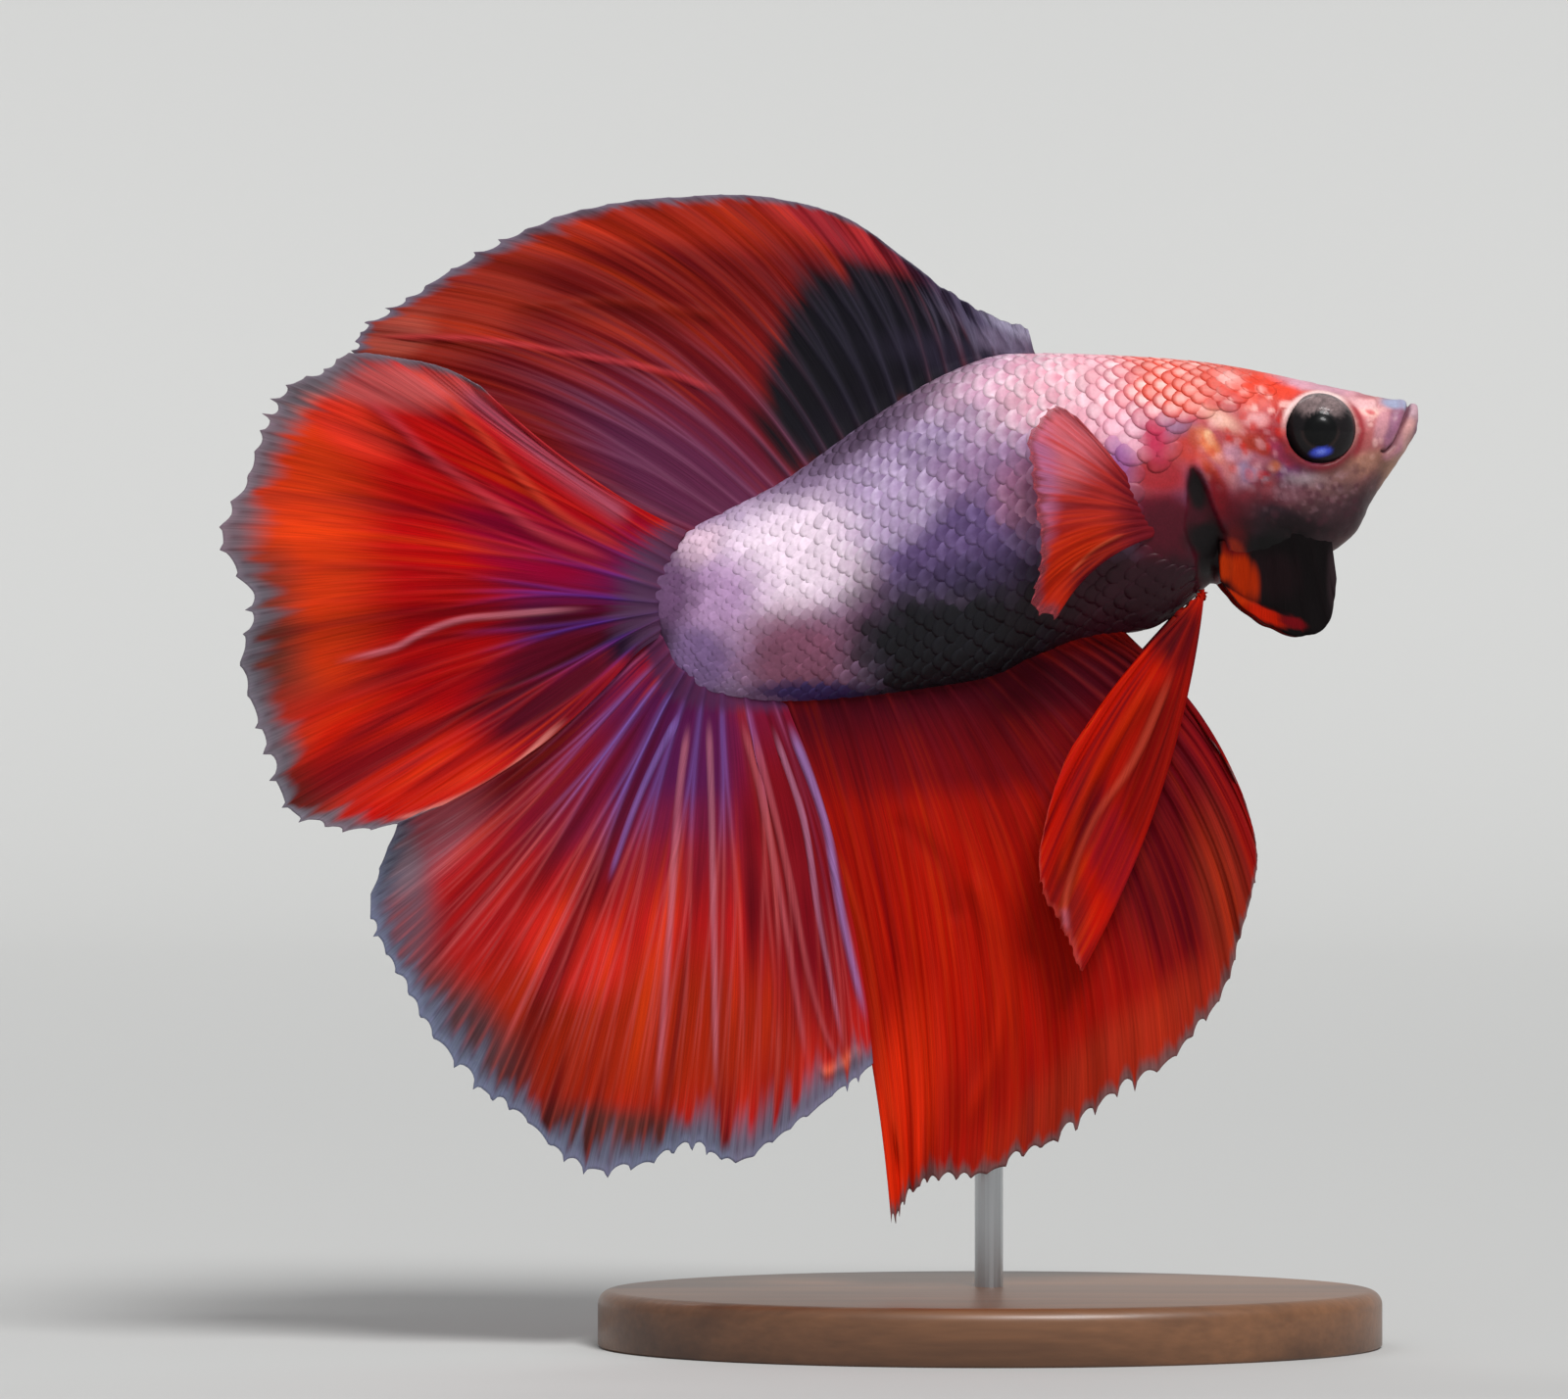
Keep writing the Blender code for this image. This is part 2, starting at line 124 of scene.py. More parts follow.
def spline(points: Array, t: Array) -> Array:
    """Catmull-Rom curve through rows of points.

    Args:
        points: One row for each knot.
        t: Where to read the curve, from 0 to 1.

    Returns:
        One row for each t: the cubic whose slope at a knot is half the way between its
        neighbours.
    """
    rows = np.asarray(points, float)
    spans = len(rows) - 1
    s = np.clip(np.asarray(t, float) * spans, 0, spans - 1e-9)
    i = s.astype(int)
    f = (s - i)[..., None]
    padded = np.vstack([2 * rows[0] - rows[1], rows, 2 * rows[-1] - rows[-2]])
    a, b, c, d = (padded[i + k] for k in range(4))
    return b + 0.5 * f * (c - a + f * (2 * a - 5 * b + 4 * c - d + f * (3 * (b - c) + d - a)))


def scatter(i: Array, j: Array, k: Array | int, seed: int) -> Array:
    """A hashed number from -1 to 1 for each set of three whole numbers."""
    h = (i.astype(np.int64) * 73856093) ^ (j.astype(np.int64) * 19349663) ^ (k * 83492791)
    h = ((h ^ (h >> 13)) * 1274126177 + seed * 9781) & 0xFFFFFF
    h = ((h ^ (h >> 11)) * 668265263) & 0xFFFFFF
    return h / 0x7FFFFF - 1


def noise(p: Array, size: float, seed: int = 0) -> Array:
    """Value noise: hashed values at the corners of a cubic lattice, smoothly blended.

    Args:
        p: Places, with x, y and z on the last axis.
        size: Edge of a lattice cell.
        seed: Which lattice.

    Returns:
        A number from -1 to 1 for each place.
    """
    q = np.asarray(p, float) / size + 31.7 * seed
    cell = np.floor(q).astype(np.int64)
    f = q - cell
    f = f * f * (3 - 2 * f)
    total = np.zeros(q.shape[:-1])
    for corner in range(8):
        step = np.array([(corner >> k) & 1 for k in range(3)])
        corners = np.moveaxis(cell + step, -1, 0)
        total += np.prod(np.where(step, f, 1 - f), axis=-1) * scatter(*corners, seed)
    return total


def cloud(p: Array, size: float, seed: int = 0, octaves: int = 3) -> Array:
    """Sum of noises, each half the size and height of the one before."""
    return sum(noise(p, size / 2 ** k, seed + k) / 2 ** k for k in range(octaves)) / 1.6


def cells(x: Array, z: Array, size: float, seed: int = 0) -> tuple[Array, Array]:
    """Scattered spots: one on a jittered place in each square of a lattice.

    Args:
        x: Place along the fish.
        z: Height.
        size: Edge of a square.
        seed: Which lattice.

    Returns:
        Distance from the nearest spot as a share of the size, and that spot's own number
        from 0 to 1.
    """
    q = np.stack([x, z], axis=-1) / size
    warp = np.concatenate([q * 0.6, 0 * q[..., :1]], axis=-1)
    q = q + 0.35 * np.stack([noise(warp, 1.0, seed + 5), noise(warp, 1.0, seed + 6)], axis=-1)
    home = np.floor(q)
    best, own = np.full(np.shape(x), 9.0), np.zeros(np.shape(x))
    for step in np.ndindex(3, 3):
        i, j = np.moveaxis(home + np.array(step) - 1, -1, 0)
        away = np.hypot(q[..., 0] - i - 0.5 - 0.45 * scatter(i, j, seed, seed),
                        q[..., 1] - j - 0.5 - 0.45 * scatter(i, j, seed + 1, seed + 1))
        near = away < best
        best = np.where(near, away, best)
        own = np.where(near, 0.5 + 0.5 * scatter(i, j, seed + 2, seed + 2), own)
    return best, own


def polyline_distance(x: Array, z: Array, line: tuple) -> tuple[Array, Array]:
    """Nearest distance to a line of points in the x-z plane, and how far along it lies.

    Args:
        x: Place along the fish.
        z: Height.
        line: The corners of the line.

    Returns:
        Distances, and shares of the line's corners from 0 to 1.
    """
    best = np.full(np.shape(x), 1e9)
    share = np.zeros(np.shape(x))
    spans = len(line) - 1
    for k, ((ax, az), (bx, bz)) in enumerate(zip(line, line[1:])):
        dx, dz = bx - ax, bz - az
        t = np.clip(((x - ax) * dx + (z - az) * dz) / (dx * dx + dz * dz), 0, 1)
        d = np.hypot(x - ax - t * dx, z - az - t * dz)
        near = d < best
        best = np.where(near, d, best)
        share = np.where(near, (k + t) / spans, share)
    return best, share


# ------------------------------------------------------------------ meshes

def add_object(name: str, data: bpy.types.ID) -> bpy.types.Object:
    """A new object at the origin, linked to the scene."""
    obj = bpy.data.objects.new(name, data)
    bpy.context.scene.collection.objects.link(obj)
    return obj


def write_mesh(name: str, points: Array, faces: list[Array], tint: Array,
               maps: dict[str, Array], values: dict[str, Array] | None = None,
               crisp: Array | None = None) -> bpy.types.Object:
    """A smooth-shaded object at the origin.

    Args:
        name: Name of the piece.
        points: Places in millimetres of the model.
        faces: Arrays of faces, each array with one count of corners.
        tint: Linear colour of each point.
        maps: UV maps by name, one pair for each corner in the order of the faces.
        values: Further numbers by name, one for each point.
        crisp: Which faces are shaded flat, so that they leave their neighbours' shading alone.

    Returns:
        The object, linked to the scene.
    """
    mesh = bpy.data.meshes.new(name)
    corners = np.concatenate([f.ravel() for f in faces]).astype(np.int32)
    counts = np.concatenate([np.full(len(f), f.shape[1]) for f in faces]).astype(np.int32)
    mesh.vertices.add(len(points))
    mesh.vertices.foreach_set("co", (np.asarray(points) * UNIT).astype(np.float32).ravel())
    mesh.loops.add(len(corners))
    mesh.loops.foreach_set("vertex_index", corners)
    mesh.polygons.add(len(counts))
    mesh.polygons.foreach_set("loop_start", np.concatenate([[0], np.cumsum(counts)[:-1]]).astype(np.int32))
    mesh.update(calc_edges=True)
    for label, uv in maps.items():
        layer = mesh.uv_layers.new(name=label)
        layer.data.foreach_set("uv", np.asarray(uv, np.float32).ravel())
    colour = mesh.color_attributes.new("tint", "FLOAT_COLOR", "POINT")
    rgba = np.ones((len(points), 4), np.float32)
    rgba[:, :3] = np.clip(tint, 0, 1)
    colour.data.foreach_set("color", rgba.ravel())
    for label, numbers in (values or {}).items():
        layer = mesh.attributes.new(label, "FLOAT", "POINT")
        layer.data.foreach_set("value", np.asarray(numbers, np.float32).ravel())
    mesh.shade_smooth()
    if crisp is not None:
        mesh.polygons.foreach_set("use_smooth", ~crisp)
    mesh.validate()
    return add_object(name, mesh)


def grid_quads(columns: int, rows: int, wrap: bool = False) -> Array:
    """Quads of a grid of columns x rows points, closed along the rows if wrap."""
    i, j = np.meshgrid(np.arange(columns - 1), np.arange(rows if wrap else rows - 1), indexing="ij")
    k = (j + 1) % rows
    quads = np.stack([i * rows + j, i * rows + k, (i + 1) * rows + k, (i + 1) * rows + j], axis=-1)
    return quads.reshape(-1, 4)


def tube_faces(rings: int, around: int) -> list[Array]:
    """Faces of a tube whose two ends are each closed to a point by a fan of triangles.

    Args:
        rings: How many rings of points it has, one after the other.
        around: Points of a ring. The points of the first and the last fan follow the rings.

    Returns:
        The quads, the first fan and the last one.
    """
    k = np.arange(around)
    nxt = (k + 1) % around
    n = rings * around
    first = np.stack([nxt, k, np.full_like(k, n)], axis=1)
    last = np.stack([n - around + k, n - around + nxt, np.full_like(k, n + 1)], axis=1)
    return [grid_quads(rings, around, wrap=True), first, last]


def shell_quads(columns: int, rows: int) -> tuple[Array, int]:
    """Quads of a closed shell: a grid, its twin under it, and a wall round their rims.

    Args:
        columns: Columns of points in a grid; the twin's points follow the first grid's.
        rows: Rows of points.

    Returns:
        The quads, with the wall's last, and how many of them one grid has.
    """
    count = columns * rows
    i, j = np.arange(columns), np.arange(rows)
    rim = np.concatenate([i * rows, (columns - 1) * rows + j[1:],
                          i[-2::-1] * rows + rows - 1, j[-2:0:-1]])
    nxt = np.roll(rim, -1)
    wall = np.stack([rim + count, nxt + count, nxt, rim], axis=1)
    face = grid_quads(columns, rows)
    return np.concatenate([face[:, ::-1], face + count, wall]), len(face)


def mount(piece: bpy.types.Object, slot: str, *nodes: str) -> None:
    """Carry a piece on the model, and let it stand for CAD nodes.

    Args:
        piece: The finished piece.
        slot: Name of a material slot; not used.
        nodes: CAD nodes that the piece replaces.
    """
    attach(piece, "root")
    if nodes:
        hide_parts(*nodes)
    LOG.info("%s: %d faces", piece.name, len(piece.data.polygons))


# ------------------------------------------------------------------ materials

class Nodes:
    """A material's node tree, with short ways to add and join nodes."""

    def __init__(self, name: str) -> None:
        """Start a material that has a Principled shader and an output."""
        self.material = bpy.data.materials.new(name)
        self.material.use_nodes = True
        self.tree = self.material.node_tree
        self.shader = self.tree.nodes["Principled BSDF"]
        self.output = self.tree.nodes["Material Output"]

    def add(self, kind: str, **settings: object) -> bpy.types.Node:
        """A node of a kind with its settings; a setting named like a socket fills it."""
        node = self.tree.nodes.new(kind)
        for key, value in settings.items():
            socket = node.inputs.get(key.replace("_", " "))
            if socket is not None:
                socket.default_value = value
            else:
                setattr(node, key, value)
        return node

    def link(self, source: bpy.types.NodeSocket, target: bpy.types.NodeSocket) -> None:
        """Join two sockets."""
        self.tree.links.new(source, target)

    def attribute(self, name: str) -> bpy.types.Node:
        """A stored attribute of the mesh."""
        return self.add("ShaderNodeAttribute", attribute_name=name)

    def uv(self, name: str) -> bpy.types.NodeSocket:
        """Coordinates of one UV map."""
        return self.add("ShaderNodeUVMap", uv_map=name).outputs["UV"]

    def stretched(self, coordinates: bpy.types.NodeSocket,
                  scale: tuple[float, float, float]) -> bpy.types.NodeSocket:
        """Coordinates multiplied axis by axis."""
        mapping = self.add("ShaderNodeMapping")
        mapping.inputs["Scale"].default_value = scale
        self.link(coordinates, mapping.inputs["Vector"])
        return mapping.outputs["Vector"]

    def place(self) -> bpy.types.NodeSocket:
        """Object coordinates, in metres."""
        return self.add("ShaderNodeTexCoord").outputs["Object"]

    def grain(self, coordinates: bpy.types.NodeSocket, size: float,
              detail: float) -> bpy.types.NodeSocket:
        """Noise over coordinates; size is that of its largest cells, in their unit."""
        node = self.add("ShaderNodeTexNoise", Scale=1 / size, Detail=detail)
        self.link(coordinates, node.inputs["Vector"])
        return node.outputs["Fac"]

    def shade(self, colour: bpy.types.NodeSocket, factor: bpy.types.NodeSocket, low: float,
              high: float) -> bpy.types.NodeSocket:
        """A colour multiplied by a factor's 0 to 1 spread between low and high."""
        spread = self.add("ShaderNodeMapRange")
        spread.inputs["To Min"].default_value = low
        spread.inputs["To Max"].default_value = high
        self.link(factor, spread.inputs["Value"])
        scale = self.add("ShaderNodeVectorMath", operation="SCALE")
        self.link(colour, scale.inputs[0])
        self.link(spread.outputs[0], scale.inputs["Scale"])
        return scale.outputs[0]

    def bump(self, height: bpy.types.NodeSocket, strength: float, distance: float) -> None:
        """Bump the shader's surface by a height field; distance is in millimetres."""
        node = self.add("ShaderNodeBump", Strength=strength, Distance=distance * UNIT)
        self.link(height, node.inputs["Height"])
        self.link(node.outputs[0], self.shader.inputs["Normal"])

    def finish(self, **values: float) -> bpy.types.Material:
        """Fill the shader's sockets, with _ for a space in a name, and give the material."""
        for key, value in values.items():
            self.shader.inputs[key.replace("_", " ")].default_value = value
        return self.material


@dataclass(frozen=True)
class WetSkin:
    """Satin fish skin: painted tint, fine mottling and a thin wet coat."""

    name: str = "wet_skin"
    roughness: float = 0.45
    gloss: float = 0.16
    coat: float = 0.05
    grain: float = 0.13

    def material(self) -> bpy.types.Material:
        """Build the material."""
        n = Nodes(self.name)
        mottle = n.grain(n.place(), self.grain * UNIT, 3.0)
        tint = n.attribute("tint").outputs["Color"]
        n.link(n.shade(tint, mottle, 0.76, 1.24), n.shader.inputs["Base Color"])
        n.bump(mottle, 0.45, 0.03)
        return n.finish(Roughness=self.roughness, Specular_IOR_Level=self.gloss,
                        Coat_Weight=self.coat, Coat_Roughness=0.2)


@dataclass(frozen=True)
class PearlScale:
    """A pearly scale: fine growth rings round its root and a soft gloss."""

    name: str = "pearl_scale"
    roughness: float = 0.42
    gloss: float = 0.16
    rings: float = 6.0
    grain: float = 0.2

    def material(self) -> bpy.types.Material:
        """Build the material."""
        n = Nodes(self.name)
        ring = n.add("ShaderNodeTexWave", wave_type="RINGS", rings_direction="SPHERICAL",
                     Scale=self.rings, Distortion=1.5, Detail=1.0)
        n.link(n.uv("plate"), ring.inputs["Vector"])
        mottle = n.grain(n.place(), self.grain * UNIT, 3.0)
        tint = n.attribute("tint").outputs["Color"]
        n.link(n.shade(tint, mottle, 0.8, 1.2), n.shader.inputs["Base Color"])
        n.bump(ring.outputs["Fac"], 0.2, 0.02)
        return n.finish(Roughness=self.roughness, Specular_IOR_Level=self.gloss,
                        Coat_Weight=0.05, Coat_Roughness=0.22)


@dataclass(frozen=True)
class Membrane:
    """Fin membrane: painted tint with fine fibres along the rays, a little light through."""

    name: str = "membrane"
    roughness: float = 0.5
    gloss: float = 0.05
    through: float = 0.28
    fibres: float = 420.0

    def material(self) -> bpy.types.Material:
        """Build the material."""
        n = Nodes(self.name)
        fibre = n.grain(n.stretched(n.uv("ray"), (self.fibres, 5.0, 1.0)), 1.0, 2.0)
        tint = n.attribute("tint").outputs["Color"]
        colour = n.shade(tint, fibre, 0.55, 1.45)
        n.link(colour, n.shader.inputs["Base Color"])
        n.link(n.attribute("veil").outputs["Fac"], n.shader.inputs["Alpha"])
        n.bump(fibre, 0.5, 0.04)
        glow = n.add("ShaderNodeBsdfTranslucent")
        n.link(colour, glow.inputs["Color"])
        mix = n.add("ShaderNodeMixShader")
        mix.inputs[0].default_value = self.through
        n.link(n.shader.outputs[0], mix.inputs[1])
        n.link(glow.outputs[0], mix.inputs[2])
        n.link(mix.outputs[0], n.output.inputs["Surface"])
        return n.finish(Roughness=self.roughness, Specular_IOR_Level=self.gloss)


@dataclass(frozen=True)
class EyeGloss:
    """The eyeball: painted iris and pupil under a clear hard gloss."""

    name: str = "eye_gloss"

    def material(self) -> bpy.types.Material:
        """Build the material."""
        n = Nodes(self.name)
        fleck = n.grain(n.place(), 0.10 * UNIT, 2.0)
        tint = n.attribute("tint").outputs["Color"]
        n.link(n.shade(tint, fleck, 0.55, 1.45), n.shader.inputs["Base Color"])
        return n.finish(Roughness=0.35, Specular_IOR_Level=0.1, Coat_Weight=0.8, Coat_IOR=1.2,
                        Coat_Roughness=0.05)


@dataclass(frozen=True)
class Walnut:
    """Oiled walnut with its grain along the base."""

    name: str = "walnut"
    dark: Colour = (74, 46, 30)
    light: Colour = (126, 84, 54)

    def material(self) -> bpy.types.Material:
        """Build the material."""
        n = Nodes(self.name)
        place = n.place()
        band = n.grain(n.stretched(place, (18, 160, 160)), 1.0, 4.0)
        pore = n.grain(n.stretched(place, (160, 2600, 2600)), 1.0, 2.0)
        ramp = n.add("ShaderNodeValToRGB")
        ramp.color_ramp.elements[0].position = 0.32
        ramp.color_ramp.elements[1].position = 0.68
        ramp.color_ramp.elements[0].color = (*linear(self.dark), 1)
        ramp.color_ramp.elements[1].color = (*linear(self.light), 1)
        n.link(band, ramp.inputs["Fac"])
        n.link(n.shade(ramp.outputs["Color"], pore, 0.7, 1.3), n.shader.inputs["Base Color"])
        n.bump(pore, 0.3, 0.05)
        return n.finish(Roughness=0.42, Coat_Weight=0.2, Coat_Roughness=0.25)


@dataclass(frozen=True)
class DrawnSteel:
    """A steel rod with fine drawing lines along it."""

    name: str = "drawn_steel"
    colour: Colour = (186, 188, 190)

    def material(self) -> bpy.types.Material:
        """Build the material."""
        n = Nodes(self.name)
        line = n.grain(n.stretched(n.place(), (6000, 6000, 90)), 1.0, 2.0)
        base = n.add("ShaderNodeRGB")
        base.outputs[0].default_value = (*linear(self.colour), 1)
        n.link(n.shade(base.outputs[0], line, 0.9, 1.1), n.shader.inputs["Base Color"])
        n.bump(line, 0.2, 0.02)
        return n.finish(Metallic=1.0, Roughness=0.3)


# ------------------------------------------------------------------ paint

@dataclass(frozen=True)
class Spot:
    """A soft patch of paint, as an airbrush lays it.

    Attributes:
        x: Centre along the fish.
        z: Height of the centre.
        long: Half length along the turned axis.
        short: Half width across it.
        turn: Degrees that the long axis is lifted towards the head.
        colour: Display colour.
        plate: Display colour in the middle of a scale, where it differs.
        strength: How much it covers.
        soft: Width of its faded edge, as a share of its size.
        power: 2 for an ellipse; more for squarer corners.
    """

    x: float
    z: float
    long: float
    short: float
    turn: float
    colour: Colour
    plate: Colour | None = None
    strength: float = 1.0
    soft: float = 0.5
    power: float = 2.0

    def cover(self, x: Array, z: Array, ragged: Array) -> Array:
        """Share of the paint at each place: 1 inside the patch, fading at its edge."""
        c, s = math.cos(math.radians(self.turn)), math.sin(math.radians(self.turn))
        dx, dz = x - self.x, z - self.z
        a, b = np.abs(dx * c + dz * s) / self.long, np.abs(dz * c - dx * s) / self.short
        reach = (a ** self.power + b ** self.power) ** (1 / self.power)
        return self.strength * ease(1 + self.soft, 1 - self.soft, reach + ragged)


def airbrush(spots: tuple[Spot, ...], base: Array, x: Array, z: Array, ragged: Array,
             plate: bool = False) -> Array:
    """Lay the spots over a base colour in their order.

    Args:
        spots: The patches, first to last.
        base: Linear colour of each place before them.
        x: Where each place is along the fish.
        z: Its height.
        ragged: How much each place is moved in or out of a patch's edge.
        plate: Whether to use the colours for the middles of scales.

    Returns:
        The linear colour of each place.
    """
    for spot in spots:
        paint = spot.plate if plate and spot.plate else spot.colour
        base = blend(base, linear(paint), spot.cover(x, z, ragged))
    return base


BODY_PAINT = (
    Spot(1.8, 52.2, 6.5, 3.6, 8, (206, 152, 176), (248, 218, 230), soft=0.6),
    Spot(-4.0, 49.6, 4.5, 3.0, 30, (128, 104, 142), (196, 174, 208)),
    Spot(0.2, 48.4, 4.0, 2.4, 20, (132, 98, 136), (178, 148, 186)),
    Spot(-2.3, 44.9, 5.0, 2.7, 6, (84, 62, 106), (124, 102, 150), soft=0.45, power=3),
    Spot(2.2, 47.8, 1.7, 1.9, 0, (142, 90, 124), (190, 138, 170)),
    Spot(-5.6, 46.9, 3.0, 1.9, 25, (172, 146, 184), (216, 196, 228), strength=0.8),
    Spot(-7.0, 42.0, 1.5, 2.0, 0, (104, 70, 98), (130, 96, 126), soft=0.7),
    Spot(-11.3, 43.9, 4.5, 3.2, 20, (230, 200, 224), (254, 238, 248), power=2.5),
    Spot(-6.8, 51.2, 5.2, 0.8, 34, (70, 54, 74), (104, 84, 110), soft=0.9),
    Spot(-15.2, 41.8, 2.6, 2.6, 10, (166, 128, 170), (192, 156, 196), soft=0.6),
    Spot(-16.4, 44.9, 2.0, 1.0, 30, (206, 170, 190), (226, 194, 208), strength=0.8),
    Spot(-19.1, 42.2, 2.7, 3.2, 0, (96, 64, 98), (108, 74, 112), soft=0.4),
    Spot(-16.2, 38.4, 2.0, 1.7, -25, (112, 86, 130), (132, 102, 146)),
    Spot(-18.9, 39.6, 1.2, 0.9, 0, (46, 22, 46), soft=0.7),
    Spot(-10.4, 38.7, 3.3, 2.6, 0, (104, 56, 78), (144, 90, 114), soft=0.55, power=3),
    Spot(-9.5, 36.7, 3.4, 0.6, 0, (56, 40, 88)),
    Spot(0.6, 43.1, 6.4, 1.3, 4, (44, 34, 60), (58, 46, 80), strength=0.8, soft=0.7),
    Spot(-1.3, 38.9, 6.0, 3.5, 0, (20, 19, 24), (27, 26, 32), soft=0.32, power=4),
    Spot(4.6, 41.4, 3.4, 2.8, 0, (26, 17, 23)),
    Spot(9.0, 42.0, 4.6, 3.4, -10, (54, 20, 31), soft=0.4, power=3),
    Spot(9.4, 46.4, 1.9, 2.6, 60, (104, 16, 38)),
    Spot(6.8, 51.0, 3.4, 2.0, -35, (230, 156, 178), (254, 210, 224)),
    Spot(7.3, 49.5, 0.7, 1.2, 10, (158, 98, 158)),
    Spot(9.3, 48.9, 1.8, 1.3, 0, (160, 30, 36), strength=0.95),
    Spot(9.2, 50.8, 0.8, 1.3, 10, (190, 48, 82)),
    Spot(11.8, 54.2, 7.0, 2.4, -6, (226, 62, 38), (255, 200, 192), soft=0.4),
    Spot(11.0, 50.3, 1.2, 1.1, 0, (190, 60, 54), (206, 96, 96)),
    Spot(9.8, 45.4, 2.0, 2.2, 0, (76, 12, 28), (90, 28, 44), soft=0.4),
    Spot(9.4, 42.4, 3.6, 2.0, 0, (42, 13, 23), (50, 20, 30), soft=0.4),
    Spot(4.6, 54.2, 3.3, 2.6, 0, (226, 150, 168), (255, 224, 232), 0.8),
    Spot(14.0, 52.6, 3.2, 1.6, -15, (220, 66, 46), (248, 170, 158), 0.9),
)
FACE_PAINT = (
    Spot(19.8, 48.6, 4.8, 6.2, 0, (142, 86, 88), soft=0.3),
    Spot(15.2, 50.8, 3.4, 3.6, 0, (186, 74, 76), soft=0.4),
    Spot(14.9, 54.0, 2.6, 0.9, -12, (226, 66, 44), soft=0.4),
    Spot(15.0, 52.7, 1.2, 0.7, -20, (222, 84, 68)),
    Spot(15.5, 51.2, 1.1, 1.4, 0, (166, 40, 48)),
    Spot(16.2, 48.6, 1.3, 1.1, 0, (122, 66, 110)),
    Spot(15.4, 47.9, 0.8, 0.9, 0, (150, 36, 52)),
    Spot(14.3, 50.2, 1.0, 0.9, 10, (196, 58, 40)),
    Spot(15.7, 49.3, 0.4, 0.3, 0, (222, 116, 84)),
    Spot(14.7, 51.9, 0.7, 0.4, 0, (236, 160, 160), strength=0.8),
    Spot(12.8, 51.9, 1.0, 0.4, -30, (244, 190, 170), strength=0.8, soft=0.8),
    Spot(13.4, 54.3, 0.6, 0.35, -10, (255, 206, 200), strength=0.7, soft=0.9),
    Spot(14.1, 48.9, 0.6, 1.0, -30, (186, 148, 184)),
    Spot(13.4, 50.0, 0.6, 0.5, 0, (206, 140, 160)),
    Spot(13.3, 48.8, 0.45, 1.0, 24, (206, 120, 120), strength=0.7),
    Spot(14.4, 47.0, 1.2, 1.3, 0, (138, 44, 58)),
    Spot(14.9, 49.5, 0.6, 0.35, 0, (196, 108, 126)),
    Spot(16.3, 49.9, 1.0, 0.35, -44, (178, 56, 92)),
    Spot(17.2, 48.7, 0.8, 0.4, 10, (186, 158, 174)),
    Spot(17.9, 48.5, 1.3, 0.5, 0, (174, 146, 152), strength=0.8),
    Spot(19.2, 47.8, 1.5, 0.9, 10, (142, 98, 98)),
    Spot(20.7, 49.6, 1.3, 0.8, 20, (196, 136, 116)),
    Spot(22.4, 49.4, 1.8, 0.5, 56, (220, 162, 134)),
    Spot(21.0, 47.6, 2.0, 0.5, 60, (112, 72, 74)),
    Spot(20.8, 51.8, 1.4, 1.5, 0, (208, 124, 126)),
    Spot(20.5, 50.7, 1.4, 0.6, 12, (196, 104, 104)),
    Spot(20.3, 51.3, 0.35, 1.2, 0, (176, 66, 72), strength=0.8),
    Spot(21.2, 52.5, 0.6, 0.35, -20, (250, 200, 188)),
    Spot(21.2, 52.35, 0.3, 0.14, -20, (212, 110, 110)),
    # A painted highlight along the top of the snout.
    Spot(20.4, 52.9, 1.6, 0.3, -10, (222, 170, 172)),
    Spot(22.4, 51.6, 0.4, 1.1, -24, (152, 100, 126)),
    Spot(21.8, 51.6, 0.35, 1.0, -20, (216, 150, 160)),
    Spot(23.3, 51.2, 0.35, 1.4, -22, (218, 160, 158)),
    Spot(22.8, 52.85, 0.9, 0.3, -10, (150, 154, 180)),
    Spot(23.7, 52.5, 0.3, 0.5, 0, (186, 150, 160)),
    Spot(18.3, 53.9, 2.2, 0.4, -12, (206, 150, 166)),
    Spot(11.3, 50.9, 0.4, 0.8, 20, (186, 76, 58)),
    Spot(12.1, 50.5, 0.45, 1.1, 32, (224, 124, 82)),
    Spot(12.1, 50.9, 0.25, 0.4, 20, (250, 196, 150)),
    Spot(12.2, 48.9, 0.35, 1.3, 30, (196, 66, 36), soft=0.6),
    Spot(12.8, 47.2, 0.7, 2.0, 22, (118, 6, 22), soft=0.6),
    Spot(13.8, 45.8, 0.9, 1.6, 20, (92, 5, 24)),
    Spot(16.9, 47.7, 1.5, 0.5, -12, (148, 92, 104), soft=0.8),
    Spot(18.3, 47.1, 1.2, 0.5, 16, (134, 84, 88), soft=0.8),
    Spot(19.6, 48.9, 0.9, 0.5, 0, (168, 116, 108), soft=0.8),
    Spot(17.6, 49.3, 0.9, 0.35, 20, (120, 52, 100), soft=0.8),
    Spot(18.8, 46.4, 2.4, 1.2, 20, (92, 58, 66), soft=0.6),
    Spot(20.2, 46.6, 1.6, 0.8, 46, (78, 48, 56), soft=0.6),
    Spot(15.9, 46.5, 1.7, 0.8, -10, (60, 34, 46), soft=0.6),
    Spot(16.8, 45.8, 2.6, 0.8, -8, (36, 17, 24), soft=0.6),
    Spot(18.4, 45.0, 0.7, 0.5, 0, (84, 58, 66), soft=0.7, strength=0.7),
    Spot(16.4, 44.6, 3.0, 1.0, -12, (14, 9, 11), soft=0.5),
    Spot(17.2, 43.6, 3.4, 0.9, 0, (14, 9, 11), soft=0.4),
    Spot(13.5, 45.3, 0.6, 0.7, 20, (104, 8, 18), soft=0.6),
    Spot(13.45, 44.6, 0.75, 0.6, -50, (178, 44, 8), soft=0.35),
)


# The gill opening: near-black blobs and a maroon fleck, the dark gill membrane's own colour deepened by
# painted shade under the gill cover.
GILL_PAINT = (
    Spot(11.45, 47.8, 0.5, 1.2, 14, (12, 8, 10), strength=0.97),
    Spot(12.0, 45.2, 1.1, 1.1, 0, (12, 9, 11), strength=0.97),
    Spot(12.3, 43.8, 0.7, 1.4, 0, (14, 9, 12), strength=0.97),
    Spot(11.5, 46.35, 0.6, 0.35, -10, (62, 12, 26), strength=0.7),
)


